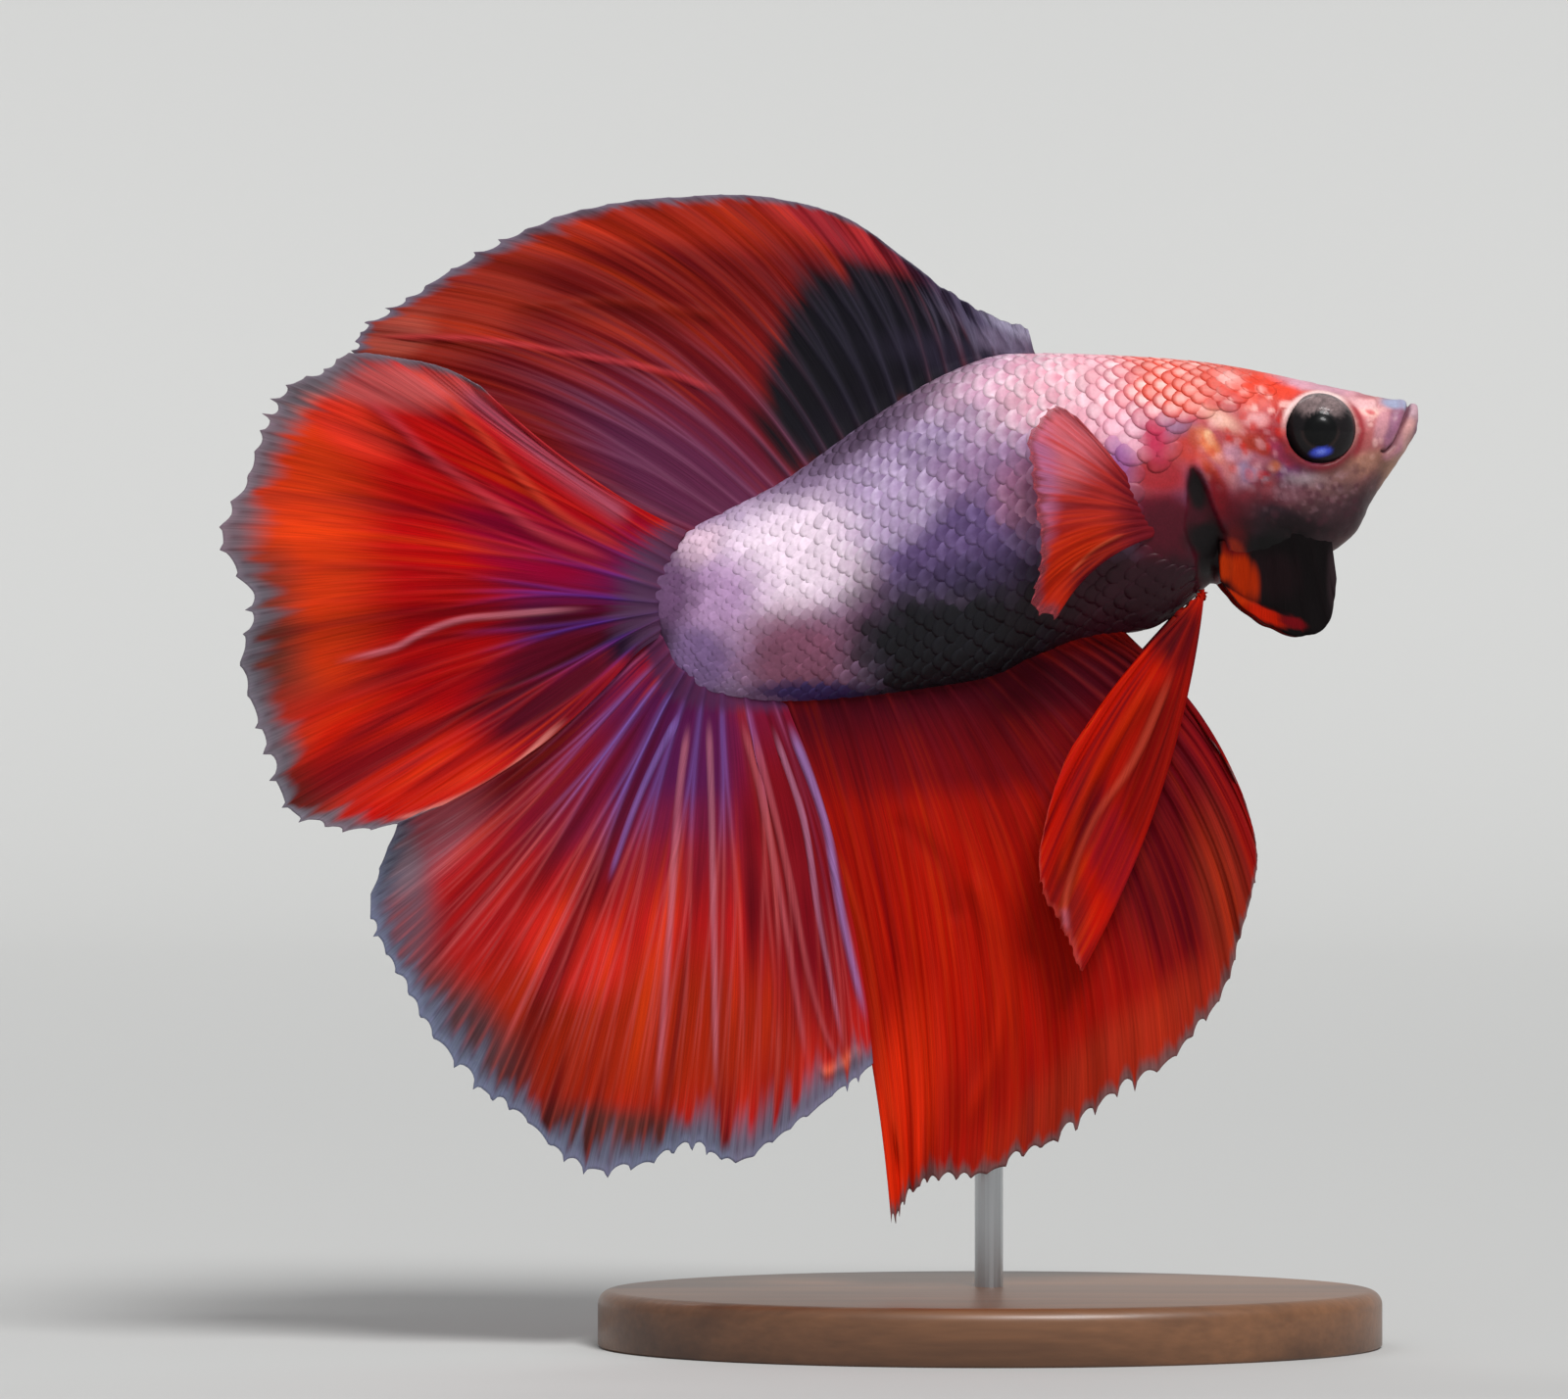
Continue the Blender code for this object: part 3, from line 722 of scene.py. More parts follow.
@dataclass(frozen=True)
class Flecks:
    """Small round pale flecks that crowd one patch of the head.

    Attributes:
        area: The patch that they lie in.
        size: Distance between flecks.
        seed: Which scatter.
    """

    area: Spot
    size: float
    seed: int

    def lay(self, tint: Array, x: Array, z: Array, ragged: Array) -> Array:
        """Lay the flecks over the colours; each has a strength of its own."""
        away, own = cells(x, z, self.size, self.seed)
        share = ease(0.30, 0.12, (away + 0.3 * ragged) * (1.15 - 0.6 * own)) * ease(0.1, 0.5, own)
        return blend(tint, linear(self.area.colour), share * self.area.cover(x, z, ragged))


HEAD_FLECKS = (
    Flecks(Spot(13.8, 53.0, 3.6, 1.7, -12, (255, 198, 190), strength=0.8), 0.9, 40),
    Flecks(Spot(13.8, 50.4, 2.2, 2.0, 0, (232, 168, 176), strength=0.3), 0.8, 50),
    Flecks(Spot(17.0, 48.5, 2.6, 0.9, 0, (186, 150, 164), strength=0.35), 0.75, 60),
    Flecks(Spot(20.8, 51.6, 1.8, 1.7, 0, (240, 190, 184), strength=0.4), 0.7, 70),
    Flecks(Spot(18.4, 47.8, 3.0, 1.8, 10, (74, 34, 46), strength=0.6), 0.6, 90),
    Flecks(Spot(18.4, 47.8, 3.0, 1.0, 14, (170, 124, 134), strength=0.2), 0.5, 80),
    Flecks(Spot(14.6, 51.6, 3.0, 2.8, 0, (196, 36, 24), strength=0.7), 0.85, 100),
)


def body_paint(x: Array, y: Array, z: Array, plate: bool) -> Array:
    """Markings of skin and scales alike, and painted shade: the face darkens by a smooth step towards the
    throat.

    Args:
        x: Place along the fish.
        y: Place across it.
        z: Height.
        plate: Whether the colour is that of a scale's middle.

    Returns:
        Linear colours.
    """
    p = np.stack([x, np.abs(y) * 0.6, z], axis=-1)
    ragged = 0.16 * cloud(p, 2.2, 3) + 0.08 * noise(p, 0.5, 8)
    base = np.broadcast_to(linear((172, 148, 184) if plate else (132, 104, 140)), p.shape)
    base = airbrush(BODY_PAINT, base, x, z, ragged, plate)
    base = airbrush(FACE_PAINT, base, x, z, ragged, plate)
    face = ease(11.5, 14.5, x)
    # Painted shade: the face darkens from the top of the head down towards the throat.
    painted_shade = 1 - 0.46 * face * ease(53.0, 49.0, z)
    mottle = (0.14 + 0.12 * face) * cloud(p, 0.9, 21) + 0.14 * face * cloud(p, 0.35, 22)
    return base * (painted_shade * (1 + mottle))[..., None]


# ------------------------------------------------------------------ the body

@dataclass
class BodyShape:
    """The body's outer surface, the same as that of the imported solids.

    Upright sections stand along a mid-line that swings to -y behind. A section is a
    superellipse of its half width and of its heights over and under its widest level.
    A place on it is t along the body, from lips to tail, and f down the flank, from the
    back at 0 to the belly at 1, by length of skin.
    """

    stations: tuple[tuple[float, float, float, float], ...] = (
        (24.0, 52.1, 51.85, 0.05), (23.93, 52.6, 51.35, 0.5),
        (23.75, 52.85, 51.0, 0.85), (22.8, 53.1, 49.5, 1.45), (21.5, 53.3, 47.6, 2.15),
        (20.35, 53.6, 45.5, 2.75), (18.2, 54.1, 44.1, 3.4), (15.6, 54.65, 43.35, 3.95),
        (12.4, 55.2, 42.5, 4.35), (9.3, 55.5, 40.3, 4.5), (5.5, 55.7, 39.75, 4.5),
        (2.4, 55.75, 38.6, 4.35), (0.0, 55.55, 37.5, 4.2), (-3.3, 54.2, 36.9, 3.9),
        (-7.2, 51.75, 36.4, 3.35), (-11.5, 48.7, 36.1, 2.6), (-14.9, 46.9, 36.4, 1.95),
        (-17.1, 45.7, 37.1, 1.45), (-18.8, 44.0, 38.9, 0.95), (-19.35, 42.9, 40.0, 0.6),
        (-19.5, 41.6, 41.3, 0.05))
    widest: float = 0.55
    powers: tuple[float, float] = (2.4, 1.9)
    swing_from: float = 6.0
    swing_length: float = 25.5
    swing: float = 4.3
    swing_power: float = 2.5
    fineness: int = 1000
    steps: int = 241
    x: Array = field(init=False)
    girth: Array = field(init=False)
    points: dict[Side, Array] = field(init=False, default_factory=dict)
    normals: dict[Side, Array] = field(init=False, default_factory=dict)

    def __post_init__(self) -> None:
        """Lay out the fine tables that places are read from."""
        rows = spline(self.stations, np.linspace(0, 1, self.fineness))
        self.x, back, belly, half = rows.T
        half = np.maximum(half, 0.02)
        level = belly + self.widest * (back - belly)
        turn = np.linspace(math.pi / 2, -math.pi / 2, 401)
        lift = np.sin(turn)[None]
        power = np.where(lift > 0, *self.powers)
        z = level[:, None] + np.where(lift > 0, (back - level)[:, None], (level - belly)[:, None]) * lift
        out = half[:, None] * np.clip(1 - np.abs(lift) ** power, 0, 1) ** (1 / power)
        step = np.hypot(np.diff(z, axis=1), np.diff(out, axis=1))
        run = np.concatenate([np.zeros((len(z), 1)), np.cumsum(step, axis=1)], axis=1)
        self.girth = run[:, -1]
        share = np.linspace(0, 1, self.steps)
        even = [[np.interp(share * r[-1], r, row) for row in (a, b)] for r, a, b in zip(run, out, z)]
        out, z = np.moveaxis(np.array(even), 1, 0)
        slope = (self.middle(self.x + 0.05) - self.middle(self.x - 0.05)) / 0.1
        tilt = np.hypot(slope, 1)
        for side in Side:
            px = self.x[:, None] - side.value * out * (slope / tilt)[:, None]
            py = self.middle(self.x)[:, None] + side.value * out / tilt[:, None]
            p = np.stack([px, py, z], axis=-1)
            normal = np.cross(np.gradient(p, axis=1), np.gradient(p, axis=0)) * side.value
            length = np.linalg.norm(normal, axis=-1, keepdims=True)
            self.points[side] = p
            self.normals[side] = normal / np.maximum(length, 1e-9)

    def middle(self, x: Array) -> Array:
        """y of the mid-plane: 0 in front, swung to -y behind by a power of the distance."""
        behind = np.clip((self.swing_from - x) / self.swing_length, 0, None)
        return -self.swing * behind ** self.swing_power

    def t_at(self, x: Array) -> Array:
        """The t of a place x along the fish."""
        return np.interp(-np.asarray(x), -self.x, np.linspace(0, 1, self.fineness))

    def size_at(self, t: Array) -> Array:
        """Length of skin from back to belly at t."""
        return np.interp(t, np.linspace(0, 1, self.fineness), self.girth)

    def at(self, t: Array, f: Array, side: Side) -> tuple[Array, Array]:
        """Places and outward normals, read between the four nearest entries.

        Args:
            t: Along the body, 0 to 1.
            f: Down the flank, 0 to 1.
            side: Which flank.

        Returns:
            Points and unit normals.
        """
        a = np.clip(t, 0, 1) * (self.fineness - 1)
        b = np.clip(f, 0, 1) * (self.steps - 1)
        i = np.minimum(a.astype(int), self.fineness - 2)
        j = np.minimum(b.astype(int), self.steps - 2)
        a, b = (a - i)[..., None], (b - j)[..., None]
        found = []
        for table in (self.points[side], self.normals[side]):
            low = table[i, j] * (1 - b) + table[i, j + 1] * b
            high = table[i + 1, j] * (1 - b) + table[i + 1, j + 1] * b
            found.append(low * (1 - a) + high * a)
        return found[0], found[1]


@dataclass
class Skin:
    """One unbroken skin over head, jaw, gill covers, trunk and tail stalk."""

    shape: BodyShape
    rings: int = 430
    half_steps: int = 106
    under_scales: float = 0.10
    mouth: tuple = ((23.5, 53.05), (23.4, 52.5), (23.1, 51.7), (22.6, 50.6), (22.1, 50.15),
                    (21.7, 50.2))
    socket: tuple[float, float] = (1.88, 1.66)
    orbit: float = 2.08
    upper_lip: tuple[float, float] = (21.1, 51.4)
    nostril_rim: tuple[float, float] = (21.35, 52.85)
    nostril: tuple[float, float] = (21.7, 52.75)
    cheek: tuple = ((15.5, 49.8), (15.0, 47.8), (15.4, 46.0), (17.4, 45.4))
    gill_front: tuple = ((11.2, 49.4), (11.75, 48.6), (12.4, 46.9), (13.05, 45.5), (13.15, 44.6),
                         (12.7, 43.6), (12.7, 42.2))
    gill_rear: tuple = ((10.9, 49.4), (10.7, 48.2), (10.75, 46.9), (10.6, 45.9), (10.9, 45.0),
                        (11.35, 44.1), (11.5, 42.2))
    eye: tuple[float, float] = field(init=False)

    def __post_init__(self) -> None:
        """Take the eye's place from the frame."""
        low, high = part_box("eye_right")
        self.eye = ((low[0] + high[0]) / 2 / UNIT, (low[2] + high[2]) / 2 / UNIT)

    def gill_x(self, z: Array, line: tuple) -> Array:
        """x of an edge of the gill opening at each height."""
        x, level = np.array(line)[::-1].T
        return np.interp(z, level, x)

    def relief(self, p: Array) -> Array:
        """Height of the skin over the bare shape: rims, lips, nostril, gill cover, grain.

        Args:
            p: Places on the bare shape.

        Returns:
            Heights in millimetres.
        """
        x, z = p[..., 0], p[..., 2]
        eye = np.hypot(x - self.eye[0], z - self.eye[1])
        height = -self.under_scales * ease(19.0, 16.0, x)
        height -= ease(*self.socket, eye)
        height += 0.13 * bell(eye - self.orbit, 0.24) * ease(1.80, 1.92, eye)
        height -= 0.07 * bell(eye - 2.62, 0.18)
        slit, along = polyline_distance(x, z, self.mouth)
        fade = ease(1.0, 0.8, along)
        height -= 0.26 * bell(slit, 0.10) * ease(1.0, 0.85, along)
        height += 0.10 * bell(slit - 0.40, 0.24) * fade
        height += 0.14 * bell(np.hypot((x - self.upper_lip[0]) / 1.1, z - self.upper_lip[1]), 0.75)
        height += 0.16 * bell(np.hypot(x - self.nostril_rim[0], z - self.nostril_rim[1]), 0.28)
        height -= 0.20 * bell(np.hypot(x - self.nostril[0], z - self.nostril[1]), 0.13)
        height += self.gill_relief(x, z)
        bumpy = ease(12.0, 15.0, x)
        away, _ = cells(x, z, 0.62, 50)
        height += bumpy * (0.022 * ease(0.6, 0.2, away) + 0.016 * cloud(p, 0.5, 5))
        return height + 0.012 * cloud(p, 0.8, 5)

    def gill_share(self, x: Array, z: Array, ragged: float | Array = 0.0) -> Array:
        """How far a place lies inside the gill opening: steep in front, sloping behind."""
        front = self.gill_x(z, self.gill_front) - x + ragged
        rear = x - self.gill_x(z, self.gill_rear) + ragged
        within = ease(42.0, 43.0, z + ragged) * ease(49.5, 49.0, z + ragged)
        return within * ease(-0.04, 0.16, front) * ease(-0.15, 0.45, rear)

    def gill_relief(self, x: Array, z: Array) -> Array:
        """The gill cover's swell up to its free rear edge, the opening, and the cheek's groove."""
        ahead = x - self.gill_x(z, self.gill_front)
        within = ease(42.8, 44.2, z) * ease(50.2, 49.0, z)
        swell = 0.22 * within * ease(4.2, 0.3, ahead) * ease(-0.16, 0.12, ahead)
        groove, along = polyline_distance(x, z, self.cheek)
        return swell - 0.34 * self.gill_share(x, z) - 0.09 * bell(groove, 0.2) * ease(0, 0.2, along)

    def detail_paint(self, p: Array, tint: Array) -> Array:
        """Paint that follows the relief: flecks, orbit, mouth slit and gill opening, with painted shade in
        the slit and the opening.

        Args:
            p: Places on the bare shape.
            tint: Linear colours so far.

        Returns:
            The linear colours with the details on them.
        """
        x, z = p[:, 0], p[:, 2]
        ragged = 0.5 * cloud(p, 0.9, 33)
        for flecks in HEAD_FLECKS:
            tint = flecks.lay(tint, x, z, 0.4 * ragged)
        dx, dz = x - self.eye[0], z - self.eye[1]
        eye = np.hypot(dx, dz) + 0.06 * ragged
        angle = np.degrees(np.arctan2(dz, dx))
        turned = np.where(angle < -90, angle + 360, angle)
        upper = ease(20, 60, turned) * ease(195, 140, turned)
        tint = blend(tint, linear((240, 206, 202)), 0.95 * upper * ease(2.34, self.orbit, eye))
        front = ease(-50, -20, angle) * ease(60, 30, angle)
        tint = blend(tint, linear((176, 124, 118)), 0.9 * front * bell(eye - 1.95, 0.25))
        tint = blend(tint, linear((150, 34, 44)), 0.8 * front * bell(eye - 2.35, 0.22))
        below = ease(5, -45, angle) * ease(-178, -140, angle)
        tint = blend(tint, linear((110, 32, 40)), 0.9 * bell(eye - 2.06, 0.32) * below)
        tint = blend(tint, linear((22, 18, 20)), ease(1.90, 1.80, eye))
        # Painted shade: a dark line in the closed mouth's slit, and a purplish shaded band beside it behind
        # the snout's tip.
        slit, along = polyline_distance(x, z, self.mouth)
        tint = blend(tint, linear((104, 50, 66)), 0.9 * bell(slit, 0.13) * ease(1.0, 0.7, along))
        tint = blend(tint, linear((156, 100, 128)), 0.6 * bell(slit - 0.3, 0.2) * ease(-0.3, 0.1, 22.9 - x)
                     * ease(1.0, 0.7, along))
        edge = np.clip(0.45 * ragged, -0.35, 0.35)
        fringe = ease(0, 0.6, self.gill_share(x + 0.25, z, edge + 0.35))
        fringe *= ease(0.0, 0.6, x - self.gill_x(z, self.gill_rear))
        tint = blend(tint, linear((112, 8, 28)), 0.85 * fringe)
        # A dark red fill and the blobs over the gill opening: the gill membrane's colour with painted shade
        # under the cover.
        tint = blend(tint, linear((74, 10, 26)), ease(0.1, 0.8, self.gill_share(x, z, edge)))
        return airbrush(GILL_PAINT, tint, x, z, 0.5 * ragged)

    def build(self) -> bpy.types.Object:
        """Rings of skin closed at the lips and the tail by a fan of triangles."""
        t = np.linspace(0, 1, self.rings)[:, None]
        down = np.linspace(0, 1, self.half_steps + 1)[None]
        halves = []
        for side, f in ((Side.RIGHT, down[:, :-1]), (Side.LEFT, down[:, :0:-1])):
            shares = np.broadcast_to(f, (self.rings, self.half_steps))
            p, normal = self.shape.at(np.broadcast_to(t, shares.shape), shares, side)
            halves.append((p, p + normal * self.relief(p)[..., None]))
        bare = np.concatenate([halves[0][0], halves[1][0]], axis=1)
        points = np.concatenate([halves[0][1], halves[1][1]], axis=1)
        around = 2 * self.half_steps
        ends = np.stack([points[0].mean(axis=0), points[-1].mean(axis=0)])
        flat = np.concatenate([points.reshape(-1, 3), ends])
        base = np.concatenate([bare.reshape(-1, 3), ends])
        tint = self.detail_paint(base, body_paint(*base.T, plate=False))
        faces = [f[:, ::-1] for f in tube_faces(self.rings, around)]
        skin = write_mesh("skin", flat, faces, tint, {"OFBake": self.unwrap(faces[0], around)})
        skin.data.materials.append(WetSkin().material())
        mount(skin, "body_skin", "head", "lower_jaw", "gill_cover_right", "gill_cover_left", "trunk",
              "tail_stalk")
        return skin

    def unwrap(self, quads: Array, around: int) -> Array:
        """The skin's own map: u along the body and v round it, with a fan at either end.

        Args:
            quads: The quads of the rings, wound outwards.
            around: Points of a ring.

        Returns:
            One pair for each corner of the quads, the first fan and the last fan.
        """
        row, column = np.divmod(quads, around)
        seam = (column == 0) & (quads[:, [-1]] % around == around - 1)
        u = UNWRAP_END + UNWRAP_RUN * row / (self.rings - 1)
        maps = [np.stack([u, np.where(seam, around, column) / around], axis=-1).reshape(-1, 2)]
        k = np.arange(around)
        near, far = k / around, (k + 1) / around
        for tip, ring, pair in ((0.0, UNWRAP_END, (near, far)), (1.0, 1 - UNWRAP_END, (far, near))):
            v = np.stack([(far + near) / 2, *pair], axis=1)
            u = np.broadcast_to([tip, ring, ring], v.shape)
            maps.append(np.stack([u, v], axis=-1).reshape(-1, 2))
        return np.concatenate(maps)


@dataclass
class Scales:
    """Overlapping scales: small domed discs whose rear edges lie over the next row."""

    shape: BodyShape
    skin: Skin
    rows: int = 19
    grid: int = 6
    length: float = 0.86
    width: float = 0.66
    thickness: float = 0.022
    lift: float = 0.026
    dome: float = 0.016
    first_x: float = 17.8
    last_x: float = -19.0
    cheek_level: float = 49.4

    def centres(self) -> tuple[Array, Array]:
        """Places of the scales in staggered columns whose spacing follows the girth.

        Returns:
            x of each scale, and its share f down the flank.
        """
        xs, fs, x, column = [], [], self.first_x, 0
        while x > self.last_x:
            pitch = float(self.shape.size_at(self.shape.t_at(x))) / self.rows
            f = (np.arange(self.rows) + (0.25 if column % 2 else 0.75)) / self.rows
            xs.append(np.full(self.rows, x))
            fs.append(f)
            x -= 0.52 * max(pitch, 0.62)
            column += 1
        return np.concatenate(xs), np.concatenate(fs)

    def front(self, f: Array) -> Array:
        """How far forward the scales reach, by share down the flank."""
        return np.interp(f, [0, 0.10, 0.20, 0.28, 0.36], [17.6, 16.8, 15.4, 13.2, 9.9])

    def present(self, x: Array, z: Array, f: Array) -> Array:
        """Which scales there are: none on the face, in the gill opening or at its edge."""
        gill = self.skin.gill_x(z, self.skin.gill_rear) - 0.45 - 2.4 * ease(42.8, 45.4, z)
        limit = np.where(z > self.cheek_level, np.maximum(self.front(f), 9.9), gill)
        return (x < limit) & (f < 0.985)

    def build(self, side: Side) -> bpy.types.Object:
        """The scales of one flank as one mesh.

        A scale is a square grid bent to a disc, (u, v) to (u sqrt(1 - v^2/2), v sqrt(1 - u^2/2)).
        It rises towards its rear edge and in a dome over its middle.

        Args:
            side: Which flank.

        Returns:
            The piece.
        """
        x, f = self.centres()
        t = self.shape.t_at(x)
        here, _ = self.shape.at(t, f, side)
        keep = self.present(x, here[:, 2], f)
        chance = np.random.default_rng(7 + side.value)
        x = x[keep] + chance.normal(0, 0.035, keep.sum())
        f = f[keep] + chance.normal(0, 0.035, keep.sum()) / self.rows
        t = self.shape.t_at(x)
        here, _ = self.shape.at(t, f, side)
        z = here[:, 2]
        chest = ease(41.5, 44.5, z) * ease(49.6, 49.0, z) * ease(6.0, 8.4, x)
        limit = np.where(z > self.cheek_level, self.front(f), 10.6)
        back = ease(0.0, 3.2, limit - x) * (1 - 0.85 * chest)
        pitch = np.maximum(self.shape.size_at(t) / self.rows, 0.45)
        size = pitch * chance.uniform(0.93, 1.07, len(x)) * (0.86 + 0.14 * back)
        u, v = np.meshgrid(np.linspace(-1, 1, self.grid), np.linspace(-1, 1, self.grid), indexing="ij")
        p = (u * np.sqrt(1 - v * v / 2)).ravel()
        q = (v * np.sqrt(1 - u * u / 2)).ravel()
        yaw = chance.normal(0, 0.12, len(x))[:, None]
        along = (p * self.length * np.cos(yaw) - q * self.width * np.sin(yaw)) * size[:, None]
        across = (p * self.length * np.sin(yaw) + q * self.width * np.cos(yaw)) * size[:, None]
        px = x[:, None] - along
        pt = self.shape.t_at(px)
        pf = f[:, None] + across / self.shape.size_at(pt)
        place, normal = self.shape.at(pt, pf, side)
        reach = np.hypot(p, q)
        lift = (self.lift * chance.uniform(0.75, 1.3, len(x)) * (0.45 + 0.55 * back)
                * (0.5 * ease(-20.0, -16.5, x) + 0.5 * ease(-12.0, -6.0, x)))[:, None]
        sunk = 0.055 + 0.03 * (1 - back[:, None])
        height = lift * (p + 0.35) * 1.2 + self.dome * (1 - reach ** 2) - sunk
        plump = np.sqrt(size)[:, None]
        top = place + normal * (height * plump)[..., None]
        under = place + normal * ((height - self.thickness) * plump)[..., None]
        points = np.concatenate([top, under], axis=1).reshape(-1, 3)
        edge, tint = self.tints(here, place, p, q, back, chance)
        tint = np.concatenate([tint, edge], axis=1).reshape(-1, 3)
        return self.assemble(side, points, tint, t, f, p, q, len(x))

    def tints(self, here: Array, place: Array, p: Array, q: Array, back: Array,
              chance: np.random.Generator) -> tuple[Array, Array]:
        """Colours of the scales: pearly middles in front, pale rear rims on the flank, and
        hardly any difference on the tail stalk.

        Args:
            here: Roots of the scales.
            place: Their points.
            p: Places within a scale, lengthwise.
            q: Places within a scale, crosswise.
            back: 0 for the scales that run out on the face, 1 for the others.
            chance: Where the scatter comes from.

        Returns:
            Linear colours of the undersides and of the tops.
        """
        number, count = place.shape[:2]
        home = (here[:, None] + (place - here[:, None]) * 0.4).reshape(-1, 3)
        edge = body_paint(*home.T, plate=False).reshape(number, count, 3)
        middle = body_paint(*home.T, plate=True).reshape(number, count, 3)
        pearl = chance.uniform(0.35, 1.0, number)[:, None]
        plate = ease(1.0, 0.3, np.hypot((p - 0.25) / 0.78, q / 0.86))
        crescent = ease(0.35, 0.85, np.hypot(p, q)) * ease(-0.3, 0.3, p)
        behind = ease(7.5, 4.0, here[:, :1])
        pale = pearl * (plate * (1 - behind) + 0.9 * crescent * behind)
        pale = pale + (0.5 + 0.2 * (pale - 0.5) - pale) * ease(-6.5, -9.5, here[:, :1])
        each = chance.uniform(0.90, 1.10, number)[:, None, None]
        tint = blend(edge, middle, pale) * each
        flat = place.reshape(-1, 3)
        skin = self.skin.detail_paint(flat, body_paint(*flat.T, plate=False)).reshape(number, count, 3)
        return edge * each, blend(skin, tint, (0.25 + 0.75 * back)[:, None] * np.ones((1, count)))

    def assemble(self, side: Side, points: Array, tint: Array, t: Array, f: Array, p: Array, q: Array,
                 number: int) -> bpy.types.Object:
        """Join the discs, with their own map and their patch on the skin's unwrap.

        Args:
            side: Which flank.
            points: All points, top then underside of each scale.
            tint: Their colours.
            t: Place of each scale along the body.
            f: Its share down the flank.
            p: Places within a scale, lengthwise.
            q: Places within a scale, crosswise.
            number: How many scales there are.

        Returns:
            The piece.
        """
        one, per_face = shell_quads(self.grid, self.grid)
        if side is Side.LEFT:
            one = one[:, ::-1]
        faces = (one[None] + np.arange(number)[:, None, None] * 2 * len(p)).reshape(-1, 4)
        local = np.concatenate([np.stack([p, q], 1), 0.8 * np.stack([p, q], 1)])
        plate = np.broadcast_to(local[one], (number, *one.shape, 2))
        home_v = f / 2 if side is Side.RIGHT else 1 - f / 2
        home = np.stack([UNWRAP_END + UNWRAP_RUN * t, home_v], axis=1)
        patch = np.clip(home[:, None, None] + 0.0015 * plate, 0, 1)
        name = f"scales_{side.label}"
        crisp = np.tile(np.arange(len(one)) >= per_face, number)
        piece = write_mesh(name, points, [faces], tint, {
            "OFBake": patch.reshape(-1, 2), "plate": plate.reshape(-1, 2)}, crisp=crisp)
        piece.data.materials.append(PearlScale(name).material())
        mount(piece, "body_skin")
        return piece


@dataclass
class Eye:
    """A glossy eyeball with a domed pupil, an iris and a blue glint under it."""

    side: Side
    rings: int = 40
    spokes: int = 72

    def build(self) -> bpy.types.Object:
        """A flattened ball turned about y, with the pupil's dome and groove on its face.

        Returns:
            The piece.
        """
        name = f"eye_{self.side.label}"
        low, high = (np.array(c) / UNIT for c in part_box(name))
        centre, radius = (low + high) / 2, (high - low) / 2
        polar = np.linspace(0.02, math.pi - 0.02, self.rings)[:, None]
        turn = np.linspace(0, 2 * math.pi, self.spokes, endpoint=False)[None]
        out = radius[0] * np.sin(polar)
        dome = np.where(polar < math.pi / 2, 0.10 * ease(0.95, 0.5, out) - 0.05 * bell(out - 1.0, 0.08), 0)
        deep = (radius[1] - 0.05) * np.cos(polar) + dome
        x = centre[0] + out * np.cos(turn)
        z = centre[2] + out * np.sin(turn)
        y = centre[1] + self.side.value * np.broadcast_to(deep, x.shape)
        points = np.stack([x, y, z], axis=-1).reshape(-1, 3)
        poles = centre + self.side.value * np.array([[0, radius[1] + 0.05, 0], [0, -radius[1] + 0.05, 0]])
        points = np.concatenate([points, poles])
        faces = tube_faces(self.rings, self.spokes)
        if self.side is Side.RIGHT:
            faces = [f[:, ::-1] for f in faces]
        tint = self.paint(points - centre)
        piece = write_mesh(name, points, faces, tint, {"gloss": np.concatenate(
            [np.stack([points[f.ravel(), 0], points[f.ravel(), 2]], 1) for f in faces])})
        piece.data.materials.append(EyeGloss(name + "_gloss").material())
        mount(piece, "eye", name)
        return piece

    def paint(self, p: Array) -> Array:
        """Pupil, iris, pale upper iris and blue glint by distance and angle from the axis."""
        out = np.hypot(p[:, 0], p[:, 2])
        angle = np.degrees(np.arctan2(p[:, 2], p[:, 0]))
        speckle = noise(p, 0.16, 3) + 0.6 * noise(p, 0.07, 4)
        tint = np.broadcast_to(linear((24, 20, 22)), p.shape)
        crescent = ease(0.98, 1.2, out + 0.16 * speckle) * ease(62, 34, np.abs(angle - 88) + 9 * speckle)
        tint = blend(tint, linear((150, 128, 128)), crescent * (0.6 + 0.35 * speckle))
        tint = blend(tint, linear((64, 44, 40)), 0.3 * bell(out - 1.0, 0.07) * ease(20, -20, angle))
        glint = np.hypot((p[:, 0] - 0.05) / 0.66, (p[:, 2] + 1.22 - 0.12 * p[:, 0]) / 0.30)
        tint = blend(tint, linear((58, 74, 196)), ease(1.2, 0.6, glint))
        tint = blend(tint, linear((120, 140, 236)), 0.8 * ease(0.7, 0.1, glint))
        return blend(tint, linear((8, 8, 9)), ease(0.96, 0.86, out))


# ------------------------------------------------------------------ fins

@dataclass(frozen=True)
class Rays:
    """The rays of a fin at a few places from its leading edge.

    Attributes:
        roots: Points of the root line.
        tips: Ends of the rays.
        bows: How far each ray bows in the x-z plane, as a share of its length.
    """

    roots: tuple
    tips: tuple
    bows: tuple


